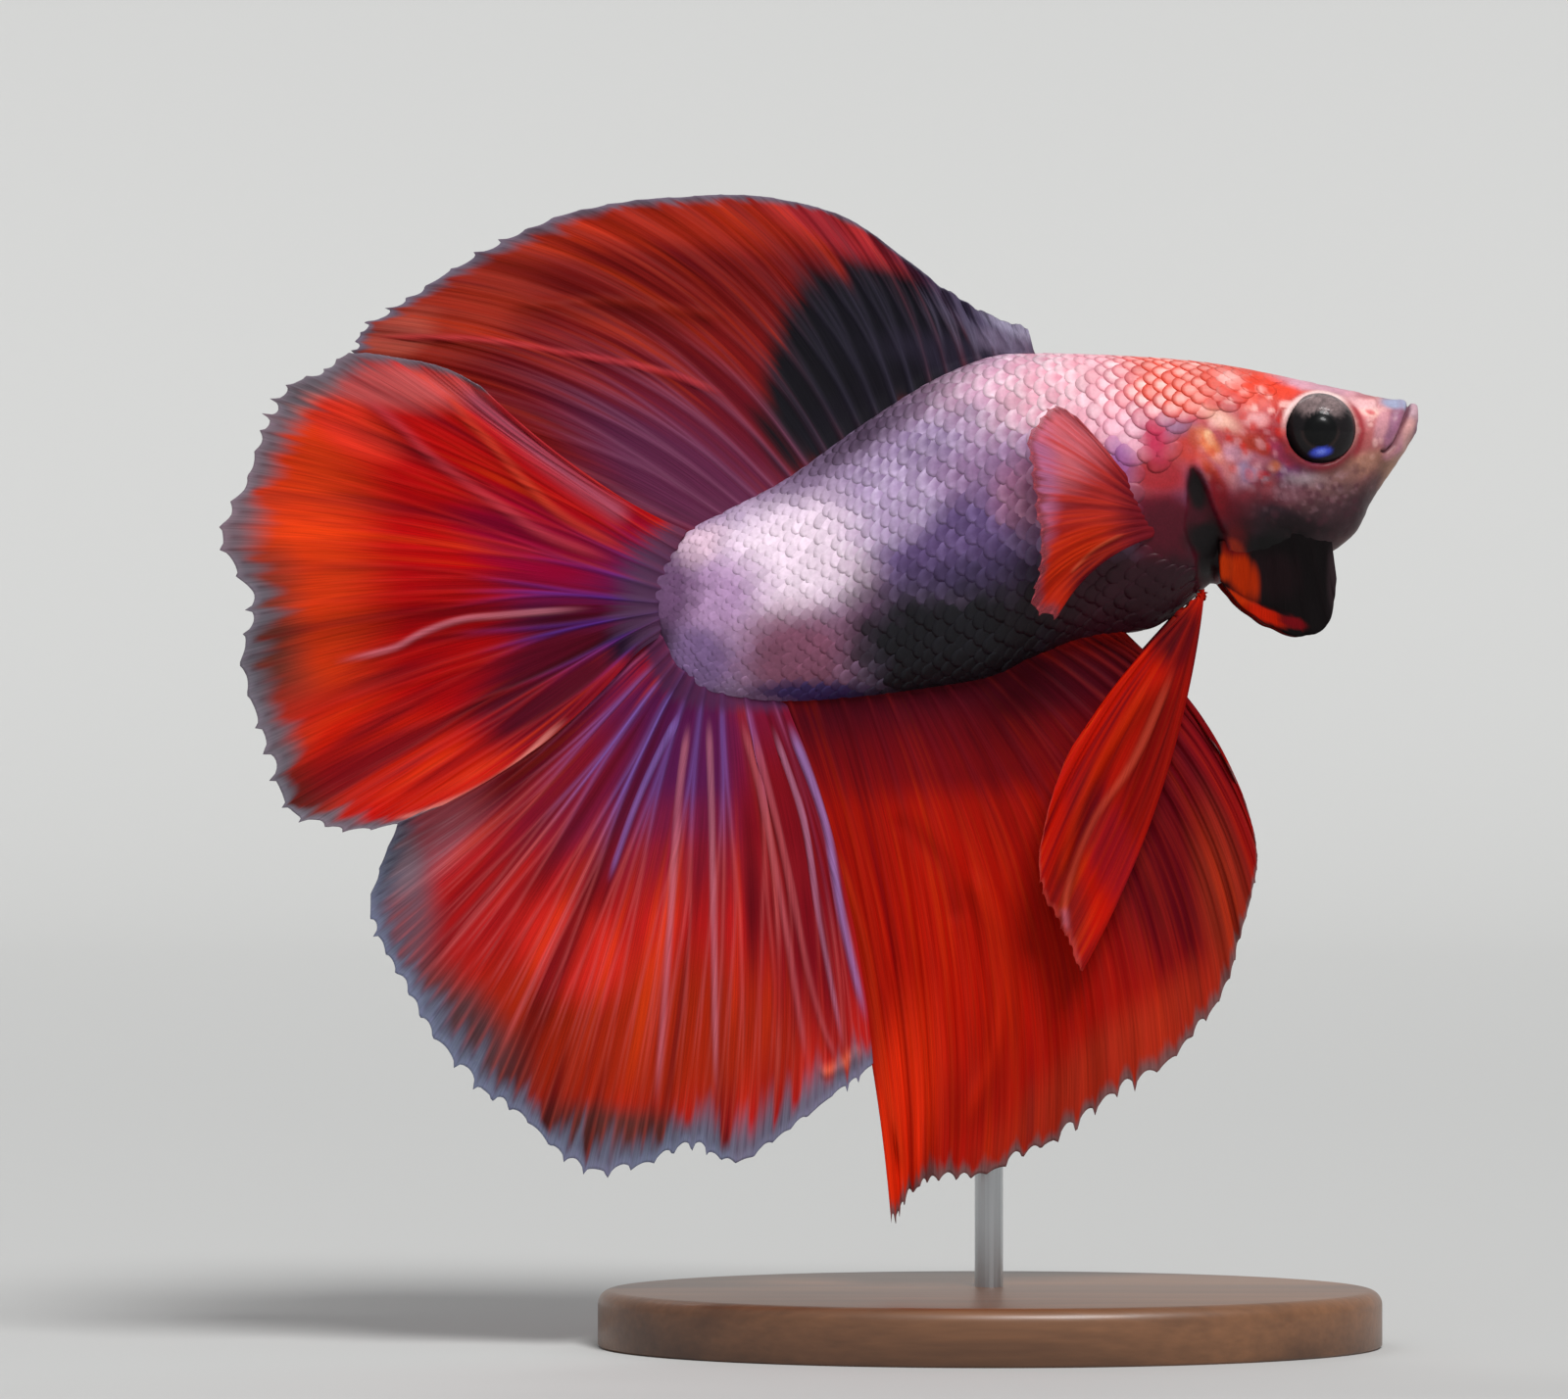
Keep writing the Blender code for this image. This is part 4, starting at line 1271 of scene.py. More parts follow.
@dataclass(frozen=True)
class Crease:
    """A fold or a strong ray: a curved ridge with a colour, and painted shade along its lower side. On a ray
    the colour is the ray's own; on a raised fold it is partly the membrane's colour and partly a painted
    highlight, and in a sunken fold painted shade.

    Attributes:
        line: A few places on it, x and z.
        width: Half width in millimetres.
        colour: Display colour: a ray's own, a raised fold's colour and painted highlight, a sunken fold's
            painted shade.
        cover: How strongly the colour shows.
        ridge: How far it stands out towards the viewer's side.
        shade: How much painted shade darkens the membrane along its lower side.
    """

    line: tuple
    width: float
    colour: Colour
    cover: float = 0.8
    ridge: float = 0.15
    shade: float = 0.0

    def share(self, p: Array) -> tuple[Array, Array]:
        """Strength of the ridge, and of the painted shade beside it, at each place of a sheet."""
        curve = tuple(map(tuple, spline(np.array(self.line), np.linspace(0, 1, 4 * len(self.line)))))
        away, along = polyline_distance(p[..., 0], p[..., 2], curve)
        below, _ = polyline_distance(p[..., 0], p[..., 2] + 1.8 * self.width, curve)
        fade = ease(0, 0.12, along) * ease(1, 0.85, along)
        return bell(away, self.width) * fade, bell(below, 2.2 * self.width) * fade * self.shade


@dataclass(frozen=True)
class FinPaint:
    """Colours of a fin.

    Attributes:
        base: Colour of the membrane.
        spots: Patches over it.
        ray_base: Colour of the rays.
        ray_spots: Patches of the rays' own colour.
        ray_cover: How strongly the rays take that colour, at the root and at the edge.
        warm: Colour that some streaks of a red membrane turn to.
        deep: Colour that the others turn to.
        edge: Colour of the clear margin.
        margin: Width of the margin as a share of the rays' length.
        edge_veil: How opaque the margin is.
        membrane_veil: How opaque the membrane is elsewhere.
        root: Colour of the membrane where it leaves the body, if it differs.
        root_reach: How far up the rays that colour fades.
        streak: Strength of the streaks.
        creases: Folds and strong rays.
    """

    base: Colour
    spots: tuple[Spot, ...]
    ray_base: Colour
    ray_spots: tuple[Spot, ...] = ()
    ray_cover: tuple[float, float] = (0.5, 0.3)
    warm: Colour = (222, 66, 14)
    deep: Colour = (104, 4, 26)
    edge: Colour = (116, 122, 142)
    margin: float = 0.05
    edge_veil: float = 0.8
    membrane_veil: float = 1.0
    root: Colour | None = None
    root_reach: float = 0.14
    streak: float = 1.0
    creases: tuple[Crease, ...] = ()

    def streaks(self, u: Array, v: Array, mains: int, seed: int) -> tuple[Array, Array, Array]:
        """Broad, middling and fine noise stretched along the rays, each from about -1 to 1."""
        wide = np.broadcast_to(u[:, None], v.shape)
        made = []
        for k, (across, along) in enumerate(((0.9, 1.1), (3.4, 1.9), (9.0, 3.2))):
            place = np.stack([wide * mains * across, v * along, wide * 0 + 7.7 * seed], axis=-1)
            made.append(noise(place, 1.0, 2 + k))
        return tuple(made)

    def colours(self, p: Array, u: Array, v: Array, ribs: tuple[Array, Array], mains: int,
                seed: int) -> tuple[Array, Array]:
        """Colours and opacity of the membrane.

        Args:
            p: Places of the sheet.
            u: Across the fin, for each column.
            v: Along the rays as a share of their length there.
            ribs: How much of a fine branch and of a main ray there is.
            mains: How many main rays there are.
            seed: Which noise.

        Returns:
            Linear colours and opacities.
        """
        x, z = p[..., 0], p[..., 2]
        broad, middling, fine = self.streaks(u, v, mains, seed)
        ragged = 0.14 * middling + 0.12 * fine + 0.08 * broad
        base = np.broadcast_to(linear(self.base), p.shape)
        base = airbrush(self.spots, base, x, z, ragged)
        pale = base[..., 1:].max(axis=-1) / np.maximum(base[..., 0], 1e-4)
        redness = np.clip(1.5 * (1 - pale) - 0.5, 0, 1)
        hue = 0.5 * middling + 0.6 * fine + 0.25 * broad
        glow = base[..., :1] / linear(self.base)[0]
        redness = redness * self.streak
        glow = np.minimum(glow, 1.25)
        base = blend(base, linear(self.warm) * glow, 0.65 * redness * ease(0.05, 0.95, hue))
        base = blend(base, linear(self.deep) * glow, 0.75 * redness * ease(-0.05, -0.95, hue))
        base = base * (1 + self.streak * (0.16 * broad + 0.18 * middling))[..., None]
        ray = np.broadcast_to(linear(self.ray_base), p.shape)
        ray = airbrush(self.ray_spots, ray, x, z, ragged)
        cover = self.ray_cover[0] * (1 - v) + self.ray_cover[1] * v
        tint = blend(base, ray, np.clip(cover, 0, 1) * np.maximum(0.5 * ribs[0], ribs[1]))
        for crease in self.creases:
            # Painted shade along each crease's lower side, then the crease's colour, which on a raised fold
            # is partly a painted highlight and in a sunken fold painted shade.
            ridge, shade = crease.share(p)
            tint = blend(tint, tint * 0.45, shade)
            tint = blend(tint, linear(crease.colour), crease.cover * ridge * (0.85 + 0.2 * fine))
        if self.root:
            share = ease(self.root_reach, 0.0, v + 0.25 * self.root_reach * fine)
            tint = blend(tint, linear(self.root), 0.85 * share)
        ends = np.clip(1 - v, 0, 1) / self.margin
        wide = np.broadcast_to(u[:, None], v.shape)
        hair = noise(np.stack([wide * mains * 16, v * 4, wide * 0 + seed], axis=-1), 1.0, 12)
        slow = noise(np.stack([wide * 7, wide * 0 + 2.3 * seed, wide * 0], axis=-1), 1.0, 13)
        depth = (0.85 + 0.5 * slow) * np.clip(0.9 + 0.5 * hair + 0.4 * fine + 0.3 * middling, 0.25, 1.9)
        rim = ease(1.2, 0.2, ends / depth)
        # The margin's colour, with a thin painted highlight along the very edge.
        edge = np.broadcast_to(linear(self.edge), p.shape) * (1 + 0.35 * bell(ends, 0.18))[..., None]
        edge = blend(edge, linear(self.edge) * 0.45, 0.6 * ribs[0] * ease(0.1, 0.3, ends))
        tint = blend(tint, edge, 0.92 * rim)
        veil = self.membrane_veil + (1 - self.membrane_veil) * np.maximum(*ribs)
        veil = veil * (1 - rim) + rim * (self.edge_veil + 0.8 * (1 - self.edge_veil) * ribs[0])
        return tint, veil


@dataclass
class Fin:
    """A thin membrane on branching rays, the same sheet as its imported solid.

    Each ray is a quadratic curve from root to tip. Main rays split into two again and
    again towards the edge; the membrane is thin between them, and its edge runs in
    hollows from point to point.

    Attributes:
        name: The CAD node that it replaces.
        slot: Its material slot.
        rays: Where the rays run.
        wave: Height, count and start of the broad ripples.
        paint: Its colours.
        cells: How many main rays there are.
        splits: How often each splits.
        columns_per_branch: Columns of points to a branch.
        rows: Points along a ray.
        sink: How far the membrane goes on under the skin, in twentieths of a ray.
        points_per_cell: How many points the edge has to a main ray.
        teeth: Depth of the edge's hollows as a share of the ray.
        uneven: How much the rays' lengths vary, as a share.
        pleat: Height of the pleats.
        frill: Height of the ruffles at the leading edge, and the share of the fin they take.
        thickness: Half thickness of the membrane at the root and at the edge.
        flesh: Half thickness of the fleshy base at the first and the last ray, and how far up
            the rays it runs out.
        calm: Where along the edge, from the first ray, its teeth set in and are full.
        rib: Half thickness that a ray adds, at the root and at the edge.
        mirror: 1, or -1 for the far side's copy.
        seed: Which noise.
    """

    name: str
    slot: str
    rays: Rays
    wave: tuple[float, float, float]
    paint: FinPaint
    cells: int = 9
    splits: int = 3
    columns_per_branch: int = 4
    rows: int = 140
    sink: float = 0.9
    points_per_cell: int = 4
    teeth: float = 0.014
    uneven: float = 0.012
    pleat: float = 0.14
    frill: tuple[float, float] = (0.0, 0.2)
    thickness: tuple[float, float] = (0.16, 0.035)
    flesh: tuple[float, float, float] = (0.0, 0.0, 0.1)
    calm: tuple[float, float] = (-0.2, -0.1)
    rib: tuple[float, float] = (0.10, 0.045)
    mirror: int = 1
    seed: int = 0

    @property
    def branches(self) -> int:
        """How many branches a main ray has at the edge."""
        return 2 ** self.splits

    def sheet(self, u: Array, v: Array) -> Array:
        """The middle sheet: quadratic rays with the ripples that grow along them.

        Args:
            u: Across the fin, 0 to 1, one row for each column of points.
            v: Along the rays; the root is 0 and the edge 1.

        Returns:
            Places of shape u x v x 3.
        """
        flip = np.array([1, self.mirror, 1])
        root = spline(np.array(self.rays.roots) * flip, u)
        tip = spline(np.array(self.rays.tips) * flip, u)
        bow = spline(np.array(self.rays.bows)[:, None], u)
        run = tip - root
        across = np.stack([run[:, 2], np.zeros(len(u)), -run[:, 0]], axis=1)
        control = (root + tip) / 2 + 2 * bow * across
        w = v[..., None]
        p = ((1 - w) ** 2 * root[:, None] + 2 * w * (1 - w) * control[:, None] + w ** 2 * tip[:, None])
        p[..., 1] += self.ripple(u, np.abs(v))
        for crease in self.paint.creases:
            p[..., 1] -= self.mirror * crease.ridge * crease.share(p)[0]
        return p

    def ripple(self, u: Array, v: Array) -> Array:
        """How far the sheet stands out in y: broad waves, pleats, drift and ruffles."""
        height, count, start = self.wave
        broad = self.mirror * height * np.sin(2 * math.pi * (count * u + start))[:, None] * v ** 2
        fold = self.pleat * np.sin(2 * math.pi * self.cells * u)[:, None] * v ** 1.5
        wide = np.broadcast_to(u[:, None], v.shape)
        drift = 0.35 * noise(np.stack([wide * 9, v * 1.3, wide * 0 + self.seed], axis=-1), 1.0, 5) * v ** 2
        high, reach = self.frill
        ruffle = high * np.sin(2 * math.pi * 26 * u)[:, None] * ease(0.55, 1.0, v)
        return broad + fold + drift + ruffle * ease(reach, 0.6 * reach, u)[:, None]

    def rib_fields(self, u: Array, v: Array, span: Array) -> tuple[Array, Array]:
        """How much of a fine branch, and of a main ray, there is at each place.

        A branch's place in its cell starts at the middle and moves half as far at each
        split, by a smooth step along the ray; a rib is a Gaussian about it.

        Args:
            u: Across the fin, one value for each column.
            v: Along the rays, for each point.
            span: Width of a cell at each point, in millimetres.

        Returns:
            The strength of the nearest branch, and of the main ray.
        """
        chance = np.random.default_rng(31 + self.seed)
        index = np.minimum((u * self.cells).astype(int), self.cells - 1)
        strong = chance.uniform(0.35, 1.0, self.cells)[index][:, None]
        lean = chance.uniform(-0.06, 0.06, self.cells)[index][:, None]
        cell = (u * self.cells % 1.0)[:, None]
        radius = 0.13 * (1 - v) + 0.05
        fine = np.zeros(v.shape)
        for branch in range(self.branches):
            place = np.full(v.shape, 0.5)
            for level in range(self.splits):
                sign = 1 if (branch >> (self.splits - 1 - level)) & 1 else -1
                start = 0.04 + 0.24 * level
                place = place + sign * 0.5 ** (level + 2) * ease(start, start + 0.45, v)
            fine = np.maximum(fine, bell((cell - place) * span, radius))
        main = strong * bell((cell - 0.5 - lean) * span, 0.10 + 0.05 * v) * ease(1.0, 0.8, v)
        return fine, main

    def edge_length(self, u: Array) -> Array:
        """Relative length of the fin at each column: hollows of uneven depth between points."""
        chance = np.random.default_rng(11 + self.seed)
        count = self.cells * self.points_per_cell
        phase = u * count + 0.3 * noise(np.stack([u * count / 2, u * 0, u * 0], axis=1), 1.0, 3)
        index = np.clip(np.floor(phase).astype(int), 0, count) % count
        away = np.abs(phase % 1.0 - 0.5) * 2
        hollow = chance.uniform(0.15, 1.15, count)[index] * (1 - away ** 1.7)
        spike = chance.uniform(0.0, 1.0, count)[index] ** 3 * 1.4 * bell(1 - away, 0.2)
        swell = noise(np.stack([u * 17, u * 0, u * 0 + 3.1 * self.seed], axis=1), 1.0, 9)
        ruffle = noise(np.stack([u * 70, u * 0, u * 0], axis=1), 1.0, 4) * ease(
            self.frill[1], 0.5 * self.frill[1], u) * 0.5 * self.frill[0]
        teeth = self.teeth * (0.15 + 0.85 * ease(*self.calm, u))
        return 1 + teeth * (spike - hollow) + self.uneven * swell + ruffle

    def build(self) -> bpy.types.Object:
        """The two faces of the membrane and the wall round its edge, as one closed mesh."""
        columns = self.cells * self.branches * self.columns_per_branch + 1
        u = np.linspace(0, 1, columns)
        length = self.edge_length(u)
        start = -self.sink / 20
        v = start + (length[:, None] - start) * np.linspace(0, 1, self.rows)[None]
        middle = self.sheet(u, v)
        du, dv = np.gradient(middle, axis=0), np.gradient(middle, axis=1)
        normal = np.cross(du, dv)
        normal /= np.maximum(np.linalg.norm(normal, axis=-1, keepdims=True), 1e-9)
        span = np.linalg.norm(du, axis=-1) * (columns - 1) / self.cells
        ribs = self.rib_fields(u, np.clip(v, 0, 1), span)
        along = np.clip(v, 0, 1)
        half = self.thickness[0] * (1 - along) ** 2 + self.thickness[1] + (
            self.rib[0] * (1 - along) + self.rib[1]) * np.maximum(0.8 * ribs[0], ribs[1])
        half = half * (0.5 + 0.5 * ease(1.0, 0.96, v / length[:, None]))
        first, last, reach = self.flesh
        half = half + (first + (last - first) * u)[:, None] * ease(reach, start, v) ** 1.5
        sheets = [middle + normal * half[..., None], middle - normal * half[..., None]]
        tint, veil = self.paint.colours(middle, u, v / length[:, None], ribs, self.cells, self.seed)
        return self.close(sheets, tint, veil, u, v)

    def close(self, sheets: list[Array], tint: Array, veil: Array, u: Array, v: Array) -> bpy.types.Object:
        """Join the two faces by a wall and write the piece.

        Args:
            sheets: Places of the face along the normal and of the one against it.
            tint: Linear colours of the columns and rows.
            veil: How opaque they are.
            u: Across the fin.
            v: Along the rays.

        Returns:
            The piece.
        """
        columns, rows = veil.shape
        faces, per_face = shell_quads(columns, rows)
        ray = np.stack(np.broadcast_arrays(u[:, None], v), axis=-1).reshape(-1, 2)
        ray = np.concatenate([ray, ray])
        # On the bake map the two faces lie side by side, and the wall in a strip over them.
        across = np.broadcast_to(np.linspace(0.005, 0.485, columns)[:, None], veil.shape)
        along = np.broadcast_to(np.linspace(0.005, 0.965, rows)[None], veil.shape)
        unwrap = np.stack([across, along], axis=-1).reshape(-1, 2)
        unwrap = np.concatenate([unwrap, unwrap + (0.5, 0)])
        walls = len(faces) - 2 * per_face
        near, far = ((np.arange(walls) + step) / walls for step in (0, 1))
        corners = ((near, 0.995), (far, 0.995), (far, 0.975), (near, 0.975))
        strip = np.stack([np.stack([a, np.full(walls, b)], axis=1) for a, b in corners], axis=1)
        bake = np.concatenate([unwrap[faces[:2 * per_face]].reshape(-1, 2), strip.reshape(-1, 2)])
        points = np.concatenate([s.reshape(-1, 3) for s in sheets])
        piece = write_mesh(self.name, points, [faces], np.tile(tint.reshape(-1, 3), (2, 1)),
                           {"OFBake": bake, "ray": ray[faces].reshape(-1, 2)},
                           {"veil": np.tile(veil.ravel(), 2)})
        piece.data.materials.append(Membrane(self.name + "_membrane").material())
        mount(piece, self.slot, self.name)
        return piece


DORSAL_RAYS = (
    (2.5, 2.1, 0.0, 57.2, 0.0), (1.1, 0.4, 0.0, 57.8, 0.02), (-0.5, -1.8, 0.0, 58.8, 0.03),
    (-1.9, -4.6, 0.0, 60.9, 0.05), (-3.6, -8.0, 0.0, 63.3, 0.06), (-5.2, -12.1, 0.0, 64.5, 0.07),
    (-6.9, -17.0, 0.0, 64.6, 0.08), (-8.5, -22.0, -0.2, 64.0, 0.09), (-10.2, -27.0, -0.6, 62.2, 0.10),
    (-11.8, -31.7, -1.2, 59.4, 0.10), (-13.5, -34.9, -1.8, 57.3, 0.09), (-15.1, -35.4, -2.2, 55.0, 0.07),
    (-17.6, -31.6, -2.8, 49.4, 0.02))
ANAL_RAYS = (
    (7.7, 11.7, 0.6, 35.0, -0.03), (7.0, 13.5, 0.6, 32.4, -0.07), (6.2, 14.8, 0.5, 29.1, -0.09),
    (5.0, 15.0, 0.3, 26.6, -0.10), (3.7, 14.2, 0.0, 23.6, -0.11), (2.2, 13.0, -0.3, 19.7, -0.11),
    (0.5, 10.2, -0.7, 16.2, -0.10), (-1.4, 6.6, -1.0, 13.9, -0.09), (-3.3, 3.0, -1.2, 11.3, -0.08),
    (-5.2, -0.3, -1.2, 9.8, -0.07), (-7.1, -3.0, -1.0, 9.3, -0.05), (-9.6, -4.6, -0.7, 8.2, -0.04),
    (-12.0, -5.5, -0.5, 6.5, -0.035))
UPPER_ROOTS = ((-17.7, -3.6, 45.95), (-19.1, -4.25, 44.1), (-19.85, -4.5, 41.4), (-19.4, -4.3, 39.4))
UPPER_RAYS = (
    (-28.3, -8.6, 53.6, -0.042), (-30.2, -9.3, 54.5, -0.03), (-32.4, -10.0, 55.0, -0.015),
    (-34.6, -10.9, 55.2, 0.0), (-36.7, -11.9, 54.6, 0.01), (-38.7, -12.8, 53.2, 0.02),
    (-40.2, -13.6, 51.4, 0.02), (-40.9, -13.9, 48.5, 0.03),
    (-41.9, -14.2, 45.2, 0.03), (-40.6, -13.8, 41.8, 0.04), (-41.2, -13.9, 38.1, 0.04),
    (-39.7, -13.3, 34.3, 0.03), (-38.6, -12.8, 30.7, 0.01), (-36.5, -12.0, 29.1, -0.01),
    (-33.7, -11.2, 29.2, -0.04), (-30.5, -10.3, 30.4, -0.06))
LOWER_ROOTS = ((-19.3, -4.1, 39.6), (-18.2, -3.7, 37.2), (-15.7, -2.8, 36.2), (-11.5, -1.7, 36.1))
LOWER_RAYS = (
    (-31.4, -7.7, 33.0, -0.05), (-33.4, -8.1, 28.4, -0.045), (-34.4, -8.4, 24.9, -0.03),
    (-33.3, -8.2, 21.7, -0.02), (-31.5, -7.8, 18.4, -0.01), (-28.6, -7.0, 15.1, 0.0),
    (-25.9, -6.4, 12.9, 0.0), (-23.0, -5.8, 10.5, 0.0), (-19.7, -5.2, 10.4, -0.01),
    (-16.7, -4.7, 11.4, -0.02), (-14.3, -4.4, 10.6, -0.03), (-11.6, -4.1, 12.2, -0.05),
    (-8.9, -3.8, 14.1, -0.05), (-6.6, -3.6, 16.1, -0.04))
PECTORAL_ROOTS = ((7.6, -4.2, 48.5), (8.0, -4.3, 46.9), (8.3, -4.2, 45.1))
PECTORAL_RAYS = (
    (4.6, -6.4, 52.0, 0.02), (3.6, -6.8, 52.5, 0.03), (2.5, -7.1, 51.8, 0.03), (1.9, -7.3, 50.4, 0.03),
    (2.2, -7.4, 48.6, 0.03), (2.3, -7.4, 46.9, 0.03), (2.6, -7.4, 45.2, 0.05), (2.5, -7.2, 43.4, 0.07),
    (2.1, -6.9, 41.4, 0.09), (3.6, -6.3, 40.9, 0.09))
PELVIC_ROOTS = ((11.1, -1.1, 41.6), (11.9, -1.0, 41.8))
PELVIC_RAYS = (
    (8.3, -2.4, 38.2, 0.0), (5.6, -3.1, 35.1, 0.02), (4.0, -3.7, 32.7, 0.035), (2.95, -4.1, 29.4, 0.05),
    (2.65, -4.2, 27.0, 0.04), (3.05, -4.1, 25.0, 0.02), (3.85, -3.9, 23.4, -0.015),
    (4.4, -3.6, 22.2, -0.04), (4.9, -3.4, 20.9, -0.05))
BEARD_TOP = ((12.7, -2.9, 45.0), (15.2, -2.4, 45.6), (17.2, -2.2, 46.0), (19.0, -1.2, 45.2))
BEARD_HEM = ((12.8, -2.7, 42.9), (14.4, -2.1, 41.1), (17.1, -1.7, 39.85), (18.9, -1.5, 40.6),
             (19.35, -1.3, 43.0))

DORSAL_PAINT = FinPaint(
    base=(126, 22, 24),
    spots=(
        Spot(-18.0, 52.0, 9.0, 3.2, -16, (112, 18, 34)),
        Spot(-17.0, 48.6, 7.0, 3.0, -30, (100, 38, 72)),
        Spot(-20.0, 63.8, 13.0, 2.4, 0, (176, 42, 22)),
        Spot(-29.5, 59.0, 6.0, 3.0, 30, (164, 46, 28)),
        Spot(-18.0, 59.4, 8.0, 2.0, -6, (116, 18, 18)),
        Spot(-8.6, 54.6, 3.9, 5.4, -14, (26, 24, 30), soft=0.22, power=3),
        Spot(-4.8, 56.8, 4.8, 3.4, -40, (28, 26, 34), soft=0.25, power=3),
        Spot(-8.4, 62.6, 4.5, 1.0, -25, (178, 44, 54), soft=0.6),
        Spot(-33.4, 56.4, 2.4, 1.2, 30, (182, 80, 64)),
        Spot(-0.8, 55.4, 4.6, 1.3, -8, (46, 40, 56), soft=0.5),
        Spot(-7.6, 52.4, 4.6, 1.4, 36, (28, 25, 33), soft=0.4),
        Spot(-3.2, 60.2, 3.4, 0.7, -38, (66, 50, 78), soft=0.6),
        Spot(0.2, 57.6, 3.4, 1.2, -28, (86, 76, 102), soft=0.5),
        Spot(0.8, 56.4, 1.6, 0.7, -10, (112, 98, 122)),
        # The pale front margin: its own pale blue-grey, lightened as a painted highlight on the ruffles.
        Spot(1.4, 57.5, 1.8, 0.7, -22, (166, 158, 182), soft=0.5)),
    ray_base=(160, 40, 34),
    ray_spots=(
        Spot(-16.0, 50.0, 9.0, 5.0, -20, (160, 92, 126)),
        Spot(-7.0, 55.5, 5.9, 6.0, -20, (66, 60, 78)),
        Spot(-0.5, 57.6, 3.4, 1.8, -38, (138, 128, 156))),
    ray_cover=(0.65, 0.4), edge=(110, 104, 122), margin=0.05, streak=0.7,
    creases=(
        Crease(((-35.4, 56.6), (-28.4, 56.4), (-24.0, 55.7), (-18.6, 54.7), (-14.6, 53.2)), 0.16,
               (206, 60, 66), 0.75, 0.12, 0.4),
        Crease(((-27.5, 58.3), (-21.0, 58.6), (-14.5, 57.6)), 0.3, (150, 40, 24), 0.5, 0.1, 0.3)))
ANAL_PAINT = FinPaint(
    base=(176, 20, 8),
    spots=(
        Spot(-1.0, 36.4, 14.0, 2.6, 8, (82, 7, 24)),
        Spot(-0.5, 33.4, 11.0, 2.2, 5, (116, 10, 20), strength=0.8),
        Spot(9.6, 28.0, 5.0, 7.4, 10, (104, 5, 20)),
        Spot(-1.5, 22.0, 7.5, 6.0, 0, (188, 18, 2)),
        Spot(-5.1, 12.6, 1.9, 6.4, -8, (248, 52, 14)),
        Spot(13.4, 24.0, 1.5, 6.0, 12, (164, 50, 30), strength=0.8),
        Spot(7.0, 15.5, 9.0, 2.2, 40, (184, 52, 28), strength=0.7)),
    ray_base=(196, 44, 22),
    ray_spots=(Spot(3.0, 34.0, 14.0, 4.0, 0, (112, 20, 38)),),
    ray_cover=(0.35, 0.45), edge=(128, 92, 92), margin=0.032, edge_veil=0.85, streak=0.5,
    creases=(
        Crease(((-8.6, 28.0), (-6.9, 22.0), (-5.9, 15.0), (-4.6, 9.0)), 0.25, (226, 60, 20), 0.5, 0.2, 0.4),
        Crease(((-1.2, 27.0), (0.6, 22.5), (0.2, 17.0), (-2.0, 11.5)), 0.5, (214, 40, 10), 0.5, 0.2, 0.4),
        Crease(((-5.6, 30.0), (-2.6, 27.0), (-1.8, 23.5)), 0.6, (130, 8, 8), 0.4, -0.12)))
UPPER_PAINT = FinPaint(
    base=(192, 8, 12),
    spots=(
        Spot(-38.6, 43.0, 4.2, 14.0, 0, (216, 58, 18)),
        Spot(-34.4, 53.6, 6.5, 1.2, -4, (206, 92, 92)),
        Spot(-37.8, 53.0, 1.8, 0.9, 30, (196, 128, 124)),
        Spot(-35.2, 51.2, 2.6, 1.2, -30, (230, 56, 36)),
        Spot(-40.0, 38.0, 1.9, 6.8, 0, (116, 56, 46), soft=0.7),
        Spot(-38.0, 33.4, 1.8, 3.4, 0, (118, 58, 46), soft=0.7),
        Spot(-19.2, 45.3, 2.2, 0.9, -40, (168, 10, 44)),
        Spot(-21.6, 41.6, 4.4, 3.2, 0, (100, 28, 88)),
        Spot(-24.6, 37.4, 5.0, 2.8, 40, (96, 10, 34)),
        Spot(-25.4, 44.8, 4.0, 2.2, -25, (158, 4, 52)),
        Spot(-33.0, 33.0, 6.5, 2.8, -20, (212, 30, 8)),
        Spot(-20.3, 39.4, 1.2, 0.9, 20, (40, 18, 42), soft=0.7)),
    ray_base=(214, 42, 34),
    ray_spots=(Spot(-22.3, 41.3, 5.0, 3.6, 0, (84, 58, 180)),),
    ray_cover=(0.55, 0.25), edge=(112, 108, 120), margin=0.085, edge_veil=0.78,
    root=(90, 60, 90), root_reach=0.09,
    creases=(
        Crease(((-22.0, 41.4), (-27.3, 40.95), (-29.4, 40.7), (-31.4, 40.0), (-33.1, 39.1), (-36.4, 38.3)),
               0.14, (216, 124, 140), 0.8, 0.12, 0.4),
        Crease(((-19.6, 44.2), (-23.75, 46.4), (-26.05, 48.5), (-27.8, 50.5), (-29.35, 52.1), (-30.2, 53.4)),
               0.24, (222, 74, 50), 0.55, 0.1, 0.4),
        Crease(((-20.6, 43.8), (-24.8, 45.4), (-27.1, 46.9), (-30.4, 49.2), (-32.9, 51.5), (-34.9, 53.0)),
               0.26, (210, 70, 84), 0.55, 0.1, 0.4),
        Crease(((-19.9, 46.1), (-22.4, 47.8), (-24.9, 49.7), (-27.4, 51.8), (-29.8, 53.8)), 0.55,
               (178, 92, 118), 0.85, 0.1),
        Crease(((-23.4, 35.4), (-26.3, 32.75), (-28.4, 31.4), (-31.1, 30.2), (-33.2, 29.6)), 0.14,
               (238, 146, 136), 0.8, 0.1)))
